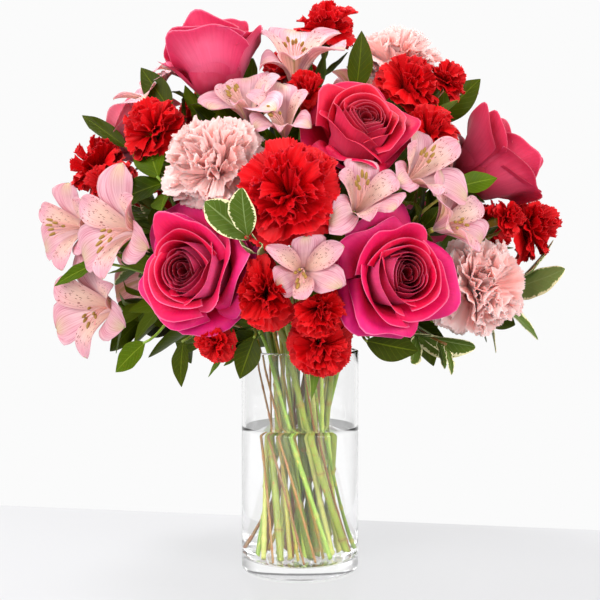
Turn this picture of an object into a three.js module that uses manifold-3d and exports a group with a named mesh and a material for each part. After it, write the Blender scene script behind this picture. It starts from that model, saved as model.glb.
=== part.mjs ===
// A round bouquet of carnations, roses, spray carnations and Peruvian lilies with cut greenery,
// standing in a clear glass cylinder vase part filled with water. Millimetres, +Z up, the photograph's
// front towards -Y. The origin is the middle of the vase's foot, on the surface that it stands on.
//
// Every head has a place of its own on the dome: a straight-sided cone whose point is the hub, the spot
// just over the vase's mouth that all the stems lean out from. Heads are pressed sideways to their cone's
// walls, as crowded flowers press on each other, so no head crosses its neighbour.

import * as THREE from "three";
import { mergeVertices } from "three/addons/utils/BufferGeometryUtils.js";
import Module from "manifold-3d";

const wasm = await Module();
wasm.setup();

// ---------------------------------------------------------------- driving dimensions

const VASE = { radius: 51, height: 190, wall: 3.2, floor: 11, edge: 2.5, sides: 36 };
const WATER_LEVEL = 124;
const GAP = 0.3;

const HUB = new THREE.Vector3(0, 0, 210);
const FORK_SHARE = 0.5; // a stem forks this far from the hub to its head
const CROWD_GAP = 0.6; // from a head to its cone's wall

// The stems cross as a twisted sheaf: straight lines from a slot in the mouth to a foot turned round by
// the twist. Every height then holds a shrunk and turned copy of the slots, so no two stems meet.
const SHEAF = { twist: 105, mouthRadius: 41, footRadius: 37, lead: 18, gap: 0.9 };

// How much of its own width each kind of head holds against its neighbours: a big one in front keeps its
// whole round, and what stands behind it gives way.
const CLAIM = { rose: 1.04, carnation: 1, spray_carnation: 0.8, lily: 0.9, leaf: 0.5 };

const LEAF_THICKNESS = 1.2;

const COLOURS = {
  glass: 0xe8f0ee,
  water: 0xdfe9e4,
  rose: 0xd91a5c,
  red: 0xc8091a,
  blush: 0xf3b9b4,
  lily: 0xeeb4c4,
  stem: 0x86a83c,
  leaf: 0x35601f,
};

// Heads are placed as [azimuth, elevation, reach, size]: degrees round from the front (right is plus) and
// up from level at the hub, then millimetres from the hub to the head's middle and across the head. A
// fifth number is a claim of its own. face, where given, is the [azimuth, elevation] that the head looks
// in. Leaves stand at the same kind of place, each as [turn, tilt, length, width]: the way that a leaf
// leans, seen from outside (0 is right, 90 up), and how far it leans from straight out.
const ROSES = [
  {
    name: "rose_top_left", head: [-45, 66, 238, 90], face: [-112, 76],
    leaves: [{ at: [-58, 54, 222, 24], blades: [[150, 30, 50, 21]] }],
  },
  {
    name: "rose_left_back", head: [-101, 50, 228, 86],
    leaves: [{ at: [-85, 45, 224, 24], blades: [[180, 14, 50, 16]] }],
  },
  {
    name: "rose_upper_right", head: [21, 50, 198, 88],
    leaves: [{ at: [30, 65, 218, 22], blades: [[90, 12, 48, 22]] }],
  },
  {
    name: "rose_right", head: [80, 40, 216, 94], face: [97, 38],
    leaves: [{ at: [80, 56, 216, 28], blades: [[0, 14, 60, 28]] }],
  },
  {
    name: "rose_lower_left", head: [-32, 18, 156, 92],
    leaves: [
      { at: [-46, 32, 164, 22], blades: [[60, 55, 34, 18]] },
      { at: [-46, -4, 136, 26], blades: [[270, 60, 36, 19]] },
      { at: [-17, -2, 126, 30], blades: [[250, 60, 34, 20], [200, 62, 30, 16]] },
    ],
  },
  {
    name: "rose_lower_right", head: [29, 17, 154, 92],
    leaves: [
      { at: [10, 27, 158, 12], blades: [[80, 50, 26, 14]] },
      { at: [25, -3, 128, 32], blades: [[350, 72, 44, 24]] },
    ],
  },
  {
    name: "rose_back_left", head: [-152, 23, 176, 96],
    leaves: [{ at: [-133, 5, 168, 26], blades: [[20, 35, 48, 24]] }],
  },
  {
    name: "rose_back_right", head: [142, 31, 184, 98],
    leaves: [{ at: [163, 17, 172, 24], blades: [[240, 40, 44, 24]] }],
  },
];

const CARNATIONS = [
  { name: "carnation_blush_left", colour: "blush", head: [-27, 42, 192, 86] },
  { name: "carnation_red_middle", colour: "red", head: [-3, 36, 180, 84, 1.08] },
  { name: "carnation_blush_top", colour: "blush", head: [72, 69, 240, 78] },
  { name: "carnation_blush_right", colour: "blush", head: [61, 12, 168, 84] },
  { name: "carnation_red_back", colour: "red", head: [176, 55, 202, 88] },
  { name: "carnation_blush_back", colour: "blush", head: [-176, 9, 168, 86] },
];

// Spray carnations and Peruvian lilies fork near the head: one stem holds each spray's blooms.
const SPRAYS = [
  {
    name: "spray_carnation_left", species: "spray_carnation",
    heads: [[-56, 49, 214, 58], [-84, 38, 222, 60], [-68, 35, 204, 48]],
  },
  {
    name: "spray_carnation_top", species: "spray_carnation",
    heads: [[-88, 70, 262, 50], [-170, 77, 238, 54], [40, 82, 256, 56]],
  },
  {
    name: "spray_carnation_upper_right", species: "spray_carnation",
    heads: [[53, 61, 228, 56], [69, 58, 244, 38], [48, 49, 210, 50]],
  },
  {
    name: "spray_carnation_right", species: "spray_carnation",
    heads: [[82, 24, 216, 62], [71, 27, 202, 34], [106, 26, 202, 56], [118, 9, 180, 58]],
  },
  {
    name: "spray_carnation_low", species: "spray_carnation",
    heads: [[-11, 13, 146, 60], [6, 8, 140, 48], [7, -4, 128, 50], [-29, -3, 134, 32]],
  },
  { name: "spray_carnation_middle", species: "spray_carnation", heads: [[3, 61, 212, 42]] },
  {
    name: "spray_carnation_back", species: "spray_carnation",
    heads: [[-128, 42, 206, 60], [-112, 29, 204, 54], [-121, 61, 222, 54]],
  },
  {
    name: "lily_spray_top", species: "lily",
    heads: [[-4, 72, 230, 80], [-22, 57, 212, 62], [-6, 53, 204, 60]],
  },
  {
    name: "lily_spray_top_left", species: "lily",
    heads: [[-72, 65, 244, 54], [-76, 57, 236, 54]],
  },
  {
    name: "lily_spray_left", species: "lily",
    heads: [[-57, 26, 188, 76, 1], [-84, 24, 214, 66], [-79, 6, 176, 76]],
    leaves: [
      { at: [-51, 40, 196, 28], blades: [[120, 60, 44, 24]] },
      { at: [-74, 16, 190, 22], blades: [[215, 45, 50, 15]] },
      { at: [-66, -5, 148, 24], blades: [[215, 50, 42, 20]] },
    ],
  },
  {
    name: "lily_spray_middle", species: "lily",
    heads: [[18, 34, 180, 72, 1], [1, 19, 154, 64]],
  },
  {
    name: "lily_spray_right", species: "lily",
    heads: [[37, 40, 194, 66, 1], [46, 28, 184, 66]],
    leaves: [{ at: [55, 37, 196, 22], blades: [[0, 50, 40, 18]] }],
  },
  {
    name: "lily_spray_right_back", species: "lily",
    heads: [[94, 60, 242, 60], [121, 47, 218, 68], [101, 37, 234, 54], [140, 67, 230, 64]],
  },
  {
    name: "lily_spray_back", species: "lily",
    heads: [[149, 4, 164, 62], [173, 32, 186, 60]],
  },
  {
    name: "lily_spray_back_left", species: "lily",
    heads: [[-124, 15, 184, 72], [-155, 47, 200, 68], [-147, 67, 224, 60]],
  },
];

const GREENERY = [
  {
    name: "pittosporum_middle",
    leaves: [{ at: [-16, 28, 180, 26], blades: [[110, 30, 26, 14]] }],
  },
  {
    name: "pittosporum_right",
    leaves: [
      {
        at: [84, 9, 186, 50],
        blades: [[10, 18, 52, 25], [345, 10, 60, 24], [315, 26, 52, 17], [290, 38, 46, 17]],
      },
      { at: [58, -5, 146, 22], blades: [[260, 45, 26, 12], [285, 55, 24, 10]] },
    ],
  },
  {
    name: "pittosporum_left",
    leaves: [
      { at: [-101, 20, 196, 40], blades: [[150, 30, 44, 22], [210, 30, 44, 22]] },
      { at: [-101, 36, 206, 36], blades: [[120, 30, 42, 20], [60, 34, 40, 20]] },
    ],
  },
  {
    name: "salal_left",
    leaves: [
      { at: [-105, 2, 162, 46], blades: [[200, 40, 52, 30], [320, 45, 50, 28]] },
      { at: [-132, -2, 152, 40], blades: [[240, 45, 48, 28]] },
    ],
  },
  {
    name: "salal_back",
    leaves: [
      { at: [-156, 1, 148, 44], blades: [[240, 45, 50, 30], [330, 45, 46, 26]] },
      { at: [-156, -4, 140, 30], blades: [[200, 60, 44, 26]] },
    ],
  },
  {
    name: "salal_right",
    leaves: [
      { at: [101, 6, 170, 46], blades: [[200, 45, 50, 28], [300, 45, 48, 28]] },
      { at: [131, -1, 152, 44], blades: [[250, 45, 48, 30], [40, 45, 44, 26]] },
    ],
  },
  {
    name: "salal_high",
    leaves: [
      { at: [158, 70, 216, 40], blades: [[0, 30, 50, 26], [180, 30, 48, 26]] },
      { at: [-112, 74, 226, 40], blades: [[90, 30, 48, 26]] },
    ],
  },
];

const STEM_RADIUS = { rose: 3.2, carnation: 2.7, spray_carnation: 2.1, lily: 2.8, greenery: 1.9 };
const BRANCH_RADIUS = 1.3;
const LILY_TUBE = 1.4; // a lily's stalk where the bloom opens
const TWIG_DEPTH = 8; // from a leaf's place in to the end of its twig
const TWIG_STEP = 7; // from a leaf to the next down a twig

// ---------------------------------------------------------------- directions, places and the cones

const radians = THREE.MathUtils.degToRad;

function direction(azimuth, elevation) {
  const level = Math.cos(radians(elevation));
  return new THREE.Vector3(
    level * Math.sin(radians(azimuth)),
    -level * Math.cos(radians(azimuth)),
    Math.sin(radians(elevation)),
  );
}

// Heads look partly out from the hub and partly out from the dome's own middle, which lies above it.
const LOOK_FROM = new THREE.Vector3(0, 20, 245);

// Each site claims a cone about its own direction, as wide as its size asks. The wall between two sites is
// the plane through the hub where their two round cones cross. A leaf yields its place to the heads.
const sites = [];

function claimSite(owner, [azimuth, elevation, reach, size], { claim, face, yields = false }) {
  const halfAngle = Math.atan((claim * size) / 2 / reach);
  const site = { owner, out: direction(azimuth, elevation), reach, size, halfAngle, face, yields };
  sites.push(site);
  return site;
}

// Leaves slide over the dome out of the heads' cones, into the gaps that are left.
const SITE_ROUNDS = 200;

function settleSites() {
  for (let round = 0; round < SITE_ROUNDS; round++) {
    for (const site of sites.filter(({ yields }) => yields)) {
      for (const other of sites) {
        if (other.owner === site.owner) continue;
        const wanted = other.halfAngle + site.halfAngle;
        const short = wanted - site.out.angleTo(other.out);
        if (short <= 0) continue;
        const away = site.out.clone().sub(other.out).setLength(short / 2);
        site.out.add(away).normalize();
      }
    }
  }
  for (const site of sites) {
    site.middle = HUB.clone().addScaledVector(site.out, site.reach);
    site.look = site.face ? direction(...site.face) : site.middle.clone().sub(LOOK_FROM).normalize();
    site.pull = site.out.clone().divideScalar(Math.cos(site.halfAngle));
  }
}

function wallsOf(site) {
  return sites
    .filter((other) => other.owner !== site.owner)
    .map((other) => site.pull.clone().sub(other.pull).normalize());
}

// Draws a point in towards the site's axis, so that what would reach past the cone's walls fits in them.
// Points within the core radius of the axis stay where they are.
function crowd(point, site, core) {
  site.walls ??= wallsOf(site);
  const fromHub = point.clone().sub(HUB);
  const along = fromHub.dot(site.out);
  const side = fromHub.addScaledVector(site.out, -along);
  const spread = side.length();
  if (spread <= core) return point;
  side.divideScalar(spread);
  let room = Infinity;
  for (const wall of site.walls) {
    const lean = side.dot(wall);
    if (lean < 0) room = Math.min(room, (along * site.out.dot(wall) - CROWD_GAP) / -lean);
  }
  const full = Math.max(site.size / 2, spread);
  const squeezed = Math.min(1, Math.max(room - core, 0.1) / (full - core));
  const kept = core + (spread - core) * squeezed;
  return HUB.clone().addScaledVector(site.out, along).addScaledVector(side, kept);
}

// ---------------------------------------------------------------- closed solids

function volumeOf(points, triangles) {
  const cross = new THREE.Vector3();
  const cornerVolume = ([a, b, c]) => cross.crossVectors(points[a], points[b]).dot(points[c]) / 6;
  return triangles.reduce((sum, triangle) => sum + cornerVolume(triangle), 0);
}

function solidOf(points, triangles) {
  const turned = volumeOf(points, triangles) < 0;
  const vertProperties = new Float32Array(points.flatMap((p) => [p.x, p.y, p.z]));
  const triVerts = new Uint32Array(triangles.flatMap(([a, b, c]) => (turned ? [a, c, b] : [a, b, c])));
  return new wasm.Manifold(new wasm.Mesh({ numProp: 3, vertProperties, triVerts }));
}

function solidOfGeometry(geometry) {
  const bare = geometry.clone();
  bare.deleteAttribute("normal");
  bare.deleteAttribute("uv");
  const merged = mergeVertices(bare, 1e-3);
  const position = merged.getAttribute("position");
  const pointAt = (_, i) => new THREE.Vector3().fromBufferAttribute(position, i);
  const points = Array.from({ length: position.count }, pointAt);
  const index = merged.index.array;
  const triangles = [];
  for (let i = 0; i < index.length; i += 3) {
    const [a, b, c] = index.subarray(i, i + 3);
    if (a !== b && b !== c && c !== a) triangles.push([a, b, c]);
  }
  return { points, triangles };
}

// Joins solids into one body. A hollow that the join seals is filled and a scrap that it leaves is dropped.
function join(solids) {
  const joined = solids.reduce((whole, piece) => whole.add(piece));
  const bodies = joined.decompose();
  return bodies.reduce((largest, body) => (body.volume() > largest.volume() ? body : largest));
}

function geometryOf(solid) {
  const { numProp, numVert, vertProperties, triVerts } = solid.getMesh();
  const position = new Float32Array(numVert * 3);
  for (let i = 0; i < numVert; i++) {
    position.set(vertProperties.subarray(i * numProp, i * numProp + 3), i * 3);
  }
  const geometry = new THREE.BufferGeometry();
  geometry.setAttribute("position", new THREE.BufferAttribute(position, 3));
  geometry.setIndex(new THREE.BufferAttribute(triVerts, 1));
  geometry.computeVertexNormals();
  return geometry;
}

// A thin blade over surface(u, v), u from -1 to 1 across and v from 0 to 1 along. Both faces share the
// edge's points and are split alike, and the inner points stand half the thickness off the surface.
function blade(surface, across, along) {
  const points = [];
  const faces = [[], []];
  const step = 1e-3;
  for (let j = 0; j <= along; j++) {
    for (let i = 0; i <= across; i++) {
      const u = (2 * i) / across - 1;
      const v = j / along;
      const middle = surface(u, v);
      const onEdge = i === 0 || i === across || j === 0 || j === along;
      if (onEdge) {
        points.push(middle);
        faces.forEach((face) => face.push(points.length - 1));
        continue;
      }
      const alongU = surface(u + step, v).sub(middle);
      const alongV = surface(u, v + step).sub(middle);
      const normal = alongU.cross(alongV).setLength(LEAF_THICKNESS / 2);
      points.push(middle.clone().add(normal));
      faces[0].push(points.length - 1);
      points.push(middle.clone().sub(normal));
      faces[1].push(points.length - 1);
    }
  }
  const triangles = [];
  faces.forEach((face, side) => {
    for (let j = 0; j < along; j++) {
      for (let i = 0; i < across; i++) {
        const [a, b] = [face[j * (across + 1) + i], face[j * (across + 1) + i + 1]];
        const [d, c] = [face[(j + 1) * (across + 1) + i], face[(j + 1) * (across + 1) + i + 1]];
        // Each corner's split runs to its inner point, so that no triangle lies in the shared edge alone.
        const rising = i < across / 2 === j < along / 2;
        const pair = rising ? [[a, b, c], [a, c, d]] : [[a, b, d], [b, c, d]];
        pair.forEach(([p, q, r]) => triangles.push(side ? [p, r, q] : [p, q, r]));
      }
    }
  });
  return mergedPiece(points, triangles);
}

// Points that fall together become one, and triangles that shrink away with them are left out.
function mergedPiece(points, triangles) {
  const kept = [];
  const places = points.map((point) => {
    const found = kept.findIndex((other) => other.distanceTo(point) < 1e-4);
    return found >= 0 ? found : kept.push(point) - 1;
  });
  const moved = triangles.map((triangle) => triangle.map((corner) => places[corner]));
  return { points: kept, triangles: moved.filter(([a, b, c]) => a !== b && b !== c && c !== a) };
}

// A closed round body about the local z axis, through [radius, height] rings from the bottom up.
function turned(profile, sides) {
  const lathe = new THREE.LatheGeometry(
    profile.map(([radius, height]) => new THREE.Vector2(radius, height)),
    sides,
  ).rotateX(Math.PI / 2);
  return solidOfGeometry(lathe);
}

// A closed skin over a list of loops of points, each stitched to the next. A loop of one point closes an
// end, and a loop may have twice the points of the one before. Between an edge loop and the fold after
// it the quads are split the other way round, so that both sides of a petal's edge are split alike.
function skin(loops, edges = new Set()) {
  const points = loops.flat();
  const triangles = [];
  let first = 0;
  for (let k = 0; k < loops.length - 1; k++) {
    const [below, above] = [loops[k].length, loops[k + 1].length];
    const low = (i) => first + (i % below);
    const high = (i) => first + below + (i % above);
    for (let i = 0; i < Math.max(below, above); i++) {
      const [a, b, c, d] = [low(i), low(i + 1), high(i + 1), high(i)];
      if (below === 1) triangles.push([a, c, d]);
      else if (above === 1) triangles.push([a, b, d]);
      else if (above === below && edges.has(k)) triangles.push([a, b, d], [b, c, d]);
      else if (above === below) triangles.push([a, b, c], [a, c, d]);
      else if (i % 2 === 0) triangles.push([low(i / 2), c, d]);
      else {
        const [before, after] = [low((i - 1) / 2), low((i + 1) / 2)];
        triangles.push([before, after, d], [after, c, d]);
      }
    }
    first += below;
  }
  return { points, triangles };
}

// Loops of a round stem from its head end down to its far end, with a radius at each point of the path.
// The first loop starts at the given way across, which is then carried along so that nothing twists.
function stemLoops(path, radii, sides, across) {
  const carried = across.clone();
  return path.map((point, i) => {
    const way = path[Math.max(i - 1, 0)].clone().sub(path[Math.min(i + 1, path.length - 1)]).normalize();
    carried.addScaledVector(way, -carried.dot(way)).normalize();
    const other = way.clone().cross(carried);
    return Array.from({ length: sides }, (_, k) => {
      const angle = (2 * Math.PI * k) / sides;
      return point.clone()
        .addScaledVector(carried, radii[i] * Math.cos(angle))
        .addScaledVector(other, radii[i] * Math.sin(angle));
    });
  });
}

// ---------------------------------------------------------------- heads, in their own frame: z looks out

const onAngle = (angle, radius, height) =>
  new THREE.Vector3(radius * Math.cos(angle), radius * Math.sin(angle), height);

// The same draws each time, so that no two flowers are alike and every build is.
function makeRandom(seed) {
  let state = seed;
  return () => {
    state = (state * 1664525 + 1013904223) % 4294967296;
    return state / 4294967296;
  };
}

// Heads are folded skins wound round their axis, listed from the foot up: the skin runs out along a
// petal's back to an edge loop and returns along the petal's face to the next fold. A loop's points stand
// at crest, [radius, height], in the middle of a petal, and at notch where one petal meets the next.
function petalLoop({ columns, petals = columns, shift = 0, crest, notch = crest, shoulder = 0, wave }) {
  const span = columns / petals;
  return Array.from({ length: columns }, (_, i) => {
    const place = (i + shift) % span;
    const fromCrest = Math.abs(place / span - 0.5) * 2;
    const share = place === 0 ? 1 : shoulder * fromCrest ** 2;
    const radius = THREE.MathUtils.lerp(crest[0], notch[0], share);
    const height = THREE.MathUtils.lerp(crest[1], notch[1], share);
    const [out, up] = wave ? wave(i) : [0, 0];
    return onAngle((2 * Math.PI * i) / columns, radius + out, height + up);
  });
}

// A rose: a closed bud in four rings of wide cupped petals, the outer ones rolled over and apart.
function roseHead(size, random) {
  const columns = 15;
  const turn = Math.floor(random() * 3);
  const wave = () => [(random() - 0.5) * 0.03, (random() - 0.5) * 0.03];
  const loops = [
    { crest: [0.1, 0.02] },
    { petals: 5, shift: turn, crest: [0.37, 0.16], notch: [0.33, 0.15] },
    { petals: 5, shift: turn, crest: [0.54, 0.4], notch: [0.42, 0.29], wave },
    { crest: [0.28, 0.32] },
    { petals: 5, shift: turn + 1, crest: [0.43, 0.56], notch: [0.33, 0.45], wave },
    { crest: [0.21, 0.42] },
    { petals: 3, shift: turn + 2, crest: [0.3, 0.65], notch: [0.22, 0.55], shoulder: 0.3, wave },
    { crest: [0.13, 0.5] },
    { petals: 3, shift: turn + 4, crest: [0.16, 0.7], notch: [0.11, 0.62], shoulder: 0.3 },
  ].map((loop) => petalLoop({ columns, ...loop }));
  loops.push([onAngle(0, 0, 0.58)]);
  return {
    loops: scaledLoops(loops, size),
    edges: [2, 4, 6, 8],
    foot: [onAngle(0, 0, 0)],
    depth: size * 0.4,
    core: 8,
  };
}

// A carnation: layers of fringed petals fanned out from a small core, each layer leaning further up, with
// the edges toothed, notched into petals and waved.
function carnationHead(size, random, { columns, leans } = { columns: 15, leans: [2, 30, 54, 76] }) {
  const half = (leans[1] - leans[0]) / 2;
  const core = 0.36;
  const lift = 0.3;
  const onDome = (lean, reach) => [reach * Math.cos(radians(lean)), lift + reach * Math.sin(radians(lean))];
  const loops = [petalLoop({ columns, crest: [0.2, 0.06] })];
  leans.forEach((lean, layer) => {
    loops.push(Array.from({ length: columns }, (_, i) => {
      const isNotch = (i + 2 * layer) % 3 === 0;
      const reach = (isNotch ? 0.74 : 1) - 0.1 * random();
      const ripple = half * (i % 2 ? 0.55 : -0.55) + 3 * (random() - 0.5);
      return onAngle((2 * Math.PI * i) / columns, ...onDome(lean + ripple, reach));
    }));
    if (layer === leans.length - 1) return;
    loops.push(petalLoop({ columns, crest: onDome((lean + leans[layer + 1]) / 2, core) }));
  });
  loops.push([onAngle(0, 0, lift + core)]);
  return {
    loops: scaledLoops(loops, size / 2),
    edges: leans.map((_, layer) => 1 + 2 * layer),
    foot: [onAngle(0, 0, 0)],
    depth: size * 0.25,
    core: size * 0.09,
  };
}

// A Peruvian lily: a funnel that opens into six pointed petals, three broad ones and three narrow ones.
// It grows out of a six-sided loop of stem, and each petal keeps to its own share of the round, between
// the post on its left and the post on its right.
const LILY_POINTS = 8; // each petal's own points

function lilyHead(size, random) {
  const length = size * 0.62;
  const points = [onAngle(0, 0, length * 0.3)];
  const triangles = [];
  for (let k = 0; k < 6; k++) {
    const broad = k % 2 === 0;
    const middle = ((k - 0.5) * Math.PI) / 3;
    const post = middle + radians(broad ? 36 : 24);
    const halfWidth = length * (broad ? 0.39 : 0.22);
    const lean = radians((broad ? 32 : 44) + 8 * (random() - 0.5));
    const along = (share, droop) => [
      length * (0.12 + share * Math.cos(lean)),
      length * (0.34 + share * Math.sin(lean) - droop),
    ];
    const [wideOut, wideUp] = along(0.56, -0.04);
    const [ridgeOut, ridgeUp] = along(0.5, 0.03);
    const aside = onAngle(middle + Math.PI / 2, halfWidth, 0);
    points.push(
      onAngle((k * Math.PI) / 3, LILY_TUBE, 0),
      onAngle(post, length * 0.14, length * 0.34),
      onAngle(post, length * 0.11, length * 0.38),
      onAngle(middle, wideOut, wideUp).sub(aside),
      onAngle(middle, wideOut, wideUp).add(aside),
      onAngle(middle, ridgeOut + 0.5, ridgeUp - 0.5),
      onAngle(middle, ridgeOut - 0.5, ridgeUp + 0.5),
      onAngle(middle, ...along(1, 0.1)),
    );
    const own = 1 + LILY_POINTS * k;
    const before = 1 + LILY_POINTS * ((k + 5) % 6);
    const [footRight, outRight, inRight, left, right, back, face, tip] =
      Array.from({ length: LILY_POINTS }, (_, i) => own + i);
    const [footLeft, outLeft, inLeft] = [before, before + 1, before + 2];
    triangles.push([footLeft, footRight, outRight], [footLeft, outRight, outLeft], [0, inLeft, inRight]);
    triangles.push([outLeft, left, inLeft], [outRight, inRight, right]);
    const rim = [outLeft, outRight, right, tip, left];
    const innerRim = [inLeft, inRight, right, tip, left];
    rim.forEach((corner, i) => triangles.push([back, corner, rim[(i + 1) % 5]]));
    innerRim.forEach((corner, i) => triangles.push([face, innerRim[(i + 1) % 5], corner]));
  }
  return { bloom: { points, triangles }, depth: length * 0.5, core: 4 };
}

const scaledLoops = (loops, factor) =>
  loops.map((loop) => loop.map((point) => point.clone().multiplyScalar(factor)));

// ---------------------------------------------------------------- leaves

// A leaf from its base along a way, its face towards a normal: pointed at both ends, folded a little
// along the midrib, bending back towards its tip and pressed into its place among the heads.
const LEAF_CORE = 2; // how near its place's axis a leaf isn't pressed

function leafPiece(site, { base, way, normal, length, width }) {
  const acrossWay = way.clone().cross(normal).normalize();
  const surface = (u, v) => {
    const half = (width / 2) * Math.sin(Math.PI * v ** 0.8);
    const free = base.clone()
      .addScaledVector(way, length * v)
      .addScaledVector(acrossWay, half * u)
      .addScaledVector(normal, 0.18 * half * u * u - 0.16 * length * v * v);
    return crowd(free, site, LEAF_CORE);
  };
  return blade(surface, 2, 3);
}

// ---------------------------------------------------------------- stems

// The mouth's slots, as complex numbers: x to the right and y to the front. Each stem first takes the slot
// that lies under its head, then the stems push each other apart until they can cross at the sheaf's waist.
const stems = [];
const SLOT_ROUNDS = 400;

function claimStem(name, aim, radius, forkReach, sides = 5) {
  const elevation = THREE.MathUtils.radToDeg(Math.asin(aim.z));
  const azimuth = Math.atan2(aim.x, -aim.y) + radians(SHEAF.lead);
  const out = (SHEAF.mouthRadius * Math.min(90 - elevation, 88)) / 88;
  const slot = new THREE.Vector2(out * Math.sin(azimuth), out * Math.cos(azimuth));
  const stem = { name, aim, radius, sides, slot, fork: HUB.clone().addScaledVector(aim, forkReach) };
  stems.push(stem);
  return stem;
}

function slotAt(slot, height) {
  const share = (VASE.height - height) / (VASE.height - VASE.floor);
  const foot = slot.clone().rotateAround(new THREE.Vector2(), -radians(SHEAF.twist));
  foot.multiplyScalar(SHEAF.footRadius / SHEAF.mouthRadius);
  const here = slot.clone().lerp(foot, share);
  return new THREE.Vector3(here.x, -here.y, height);
}

function settleSlots() {
  const unit = new THREE.Vector2(1, 0);
  const heights = Array.from({ length: 60 }, (_, k) => VASE.floor + (k / 59) * (VASE.height - VASE.floor));
  const waist = Math.min(...heights.map((height) => slotAt(unit, height).setZ(0).length()));
  for (let round = 0; round < SLOT_ROUNDS; round++) {
    stems.forEach((one, i) =>
      stems.slice(i + 1).forEach((other) => {
        const apart = other.slot.clone().sub(one.slot);
        const wanted = (one.radius + other.radius + SHEAF.gap) / waist;
        const short = wanted - apart.length();
        if (short <= 0) return;
        apart.setLength(short / 2);
        one.slot.sub(apart);
        other.slot.add(apart);
      }),
    );
    stems.forEach(({ slot, radius }) => slot.clampLength(0, VASE.radius - VASE.wall - radius - 2));
  }
}

function trunkPath(stem) {
  const mouth = slotAt(stem.slot, VASE.height);
  const low = slotAt(stem.slot, VASE.floor);
  const line = mouth.clone().sub(low).normalize();
  const footHeight = VASE.floor + GAP + stem.radius * Math.sqrt(1 - line.z ** 2);
  const foot = slotAt(stem.slot, footHeight);
  const pull = mouth.distanceTo(stem.fork) * 0.4;
  const bend = new THREE.CubicBezierCurve3(
    mouth,
    mouth.clone().addScaledVector(line, pull),
    stem.fork.clone().addScaledVector(stem.aim, -pull),
    stem.fork,
  );
  return [foot, ...bend.getPoints(2)];
}

function branchPath(stem, tip, look, steps) {
  const pull = stem.fork.distanceTo(tip) * 0.35;
  return new THREE.CubicBezierCurve3(
    stem.fork,
    stem.fork.clone().addScaledVector(stem.aim, pull),
    tip.clone().addScaledVector(look, -pull),
    tip,
  ).getPoints(steps);
}

// ---------------------------------------------------------------- heads and leaves set in their places

// The frame of a place: z looks out, x runs level to the right as seen from outside.
function frameOf(look) {
  const right = new THREE.Vector3(0, 0, 1).cross(look).normalize();
  return new THREE.Matrix4().makeBasis(right, look.clone().cross(right), look);
}

function settleIn(site, head) {
  const base = site.middle.clone().addScaledVector(site.look, -head.depth);
  const toWorld = frameOf(site.look).setPosition(base);
  const settle = (point) => crowd(point.clone().applyMatrix4(toWorld), site, head.core);
  return { base, settle };
}

// A twig's leaves stand one behind the other down the twig, each [turn, tilt, length, width].
function setLeaves(site, blades) {
  const { look } = site;
  const base = site.middle.clone().addScaledVector(look, -TWIG_DEPTH);
  const frame = frameOf(look);
  const solids = blades.map(([turn, tilt, length, width], k) => {
    const aside = onAngle(radians(turn), 1, 0).transformDirection(frame);
    const [straight, leaning] = [Math.cos(radians(tilt)), Math.sin(radians(tilt))];
    const way = look.clone().multiplyScalar(straight).addScaledVector(aside, leaning);
    const normal = look.clone().multiplyScalar(leaning).addScaledVector(aside, -straight);
    const root = base.clone().addScaledVector(look, -2 - TWIG_STEP * k);
    return asSolid(leafPiece(site, { base: root, way, normal, length, width }));
  });
  return { base, look, solids };
}

const asSolid = ({ points, triangles }) => solidOf(points, triangles);

function taper(count, from, to) {
  return Array.from({ length: count }, (_, i) => from + ((to - from) * i) / (count - 1));
}

const levelAcross = (way) => new THREE.Vector3(0, 0, 1).cross(way).normalize();

// The way of a stem from a tip back down to its fork and, for a spray's first tip, on to its foot. A cup
// is a list of [distance below the tip, radius] where the stem swells under its bloom.
function stemRun(stem, { base, look, cup = [] }, isFirst, tipRadius) {
  const swell = cup.map(([below]) => base.clone().addScaledVector(look, -below));
  const start = swell.at(-1) ?? base;
  const bend = branchPath(stem, start, look, 2).reverse();
  const radii = taper(3, tipRadius, isFirst ? stem.radius : tipRadius + 0.4);
  const path = [...swell.slice(0, -1), ...bend];
  const swollen = cup.slice(0, -1).map(([, radius]) => radius);
  if (!isFirst) return { path, radii: [...swollen, ...radii] };
  const trunk = trunkPath(stem).reverse().slice(1);
  return { path: [...path, ...trunk], radii: [...swollen, ...radii, ...trunk.map(() => stem.radius)] };
}

// A plain stem or twig, closed at both ends.
function stemSolid(stem, tip, isFirst, tipRadius) {
  const { path, radii } = stemRun(stem, tip, isFirst, tipRadius);
  const loops = stemLoops(path, radii, isFirst ? stem.sides : 4, levelAcross(tip.look));
  if (isFirst) stem.straight = loops.slice(-2);
  return asSolid(skin([[path[0]], ...loops, [path.at(-1)]].reverse()));
}

// A rose's hip: a swollen cup whose rim is drawn out into five sepals that turn down, its top flat.
function hip(top, look) {
  const ring = (radius, height, sepal = [radius, height]) =>
    Array.from({ length: 10 }, (_, i) => onAngle((Math.PI * i) / 5, ...(i % 2 ? sepal : [radius, height])));
  const loops = [
    [onAngle(0, 0, -13)],
    ring(5.2, -6.5),
    ring(5, -2.6, [15, -11]),
    ring(4.6, 0),
    [onAngle(0, 0, 0)],
  ];
  const { points, triangles } = skin(loops, new Set([2]));
  const toWorld = frameOf(look).setPosition(top);
  return solidOf(points.map((point) => point.applyMatrix4(toWorld)), triangles);
}

// ---------------------------------------------------------------- the whole bouquet

const bouquet = new THREE.Group();

function material(colour, roughness) {
  return new THREE.MeshStandardMaterial({ color: COLOURS[colour], roughness, metalness: 0 });
}

// Each node hangs in a group at its own place, with its geometry drawn about that place.
function addNode(name, solid, place, finish) {
  const geometry = geometryOf(solid).translate(-place.x, -place.y, -place.z);
  const mesh = new THREE.Mesh(geometry, finish);
  mesh.name = name;
  mesh.position.copy(place);
  bouquet.add(mesh);
}

const meanAim = (places) =>
  places.reduce((sum, { out, size }) => sum.addScaledVector(out, size), new THREE.Vector3()).normalize();

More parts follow.
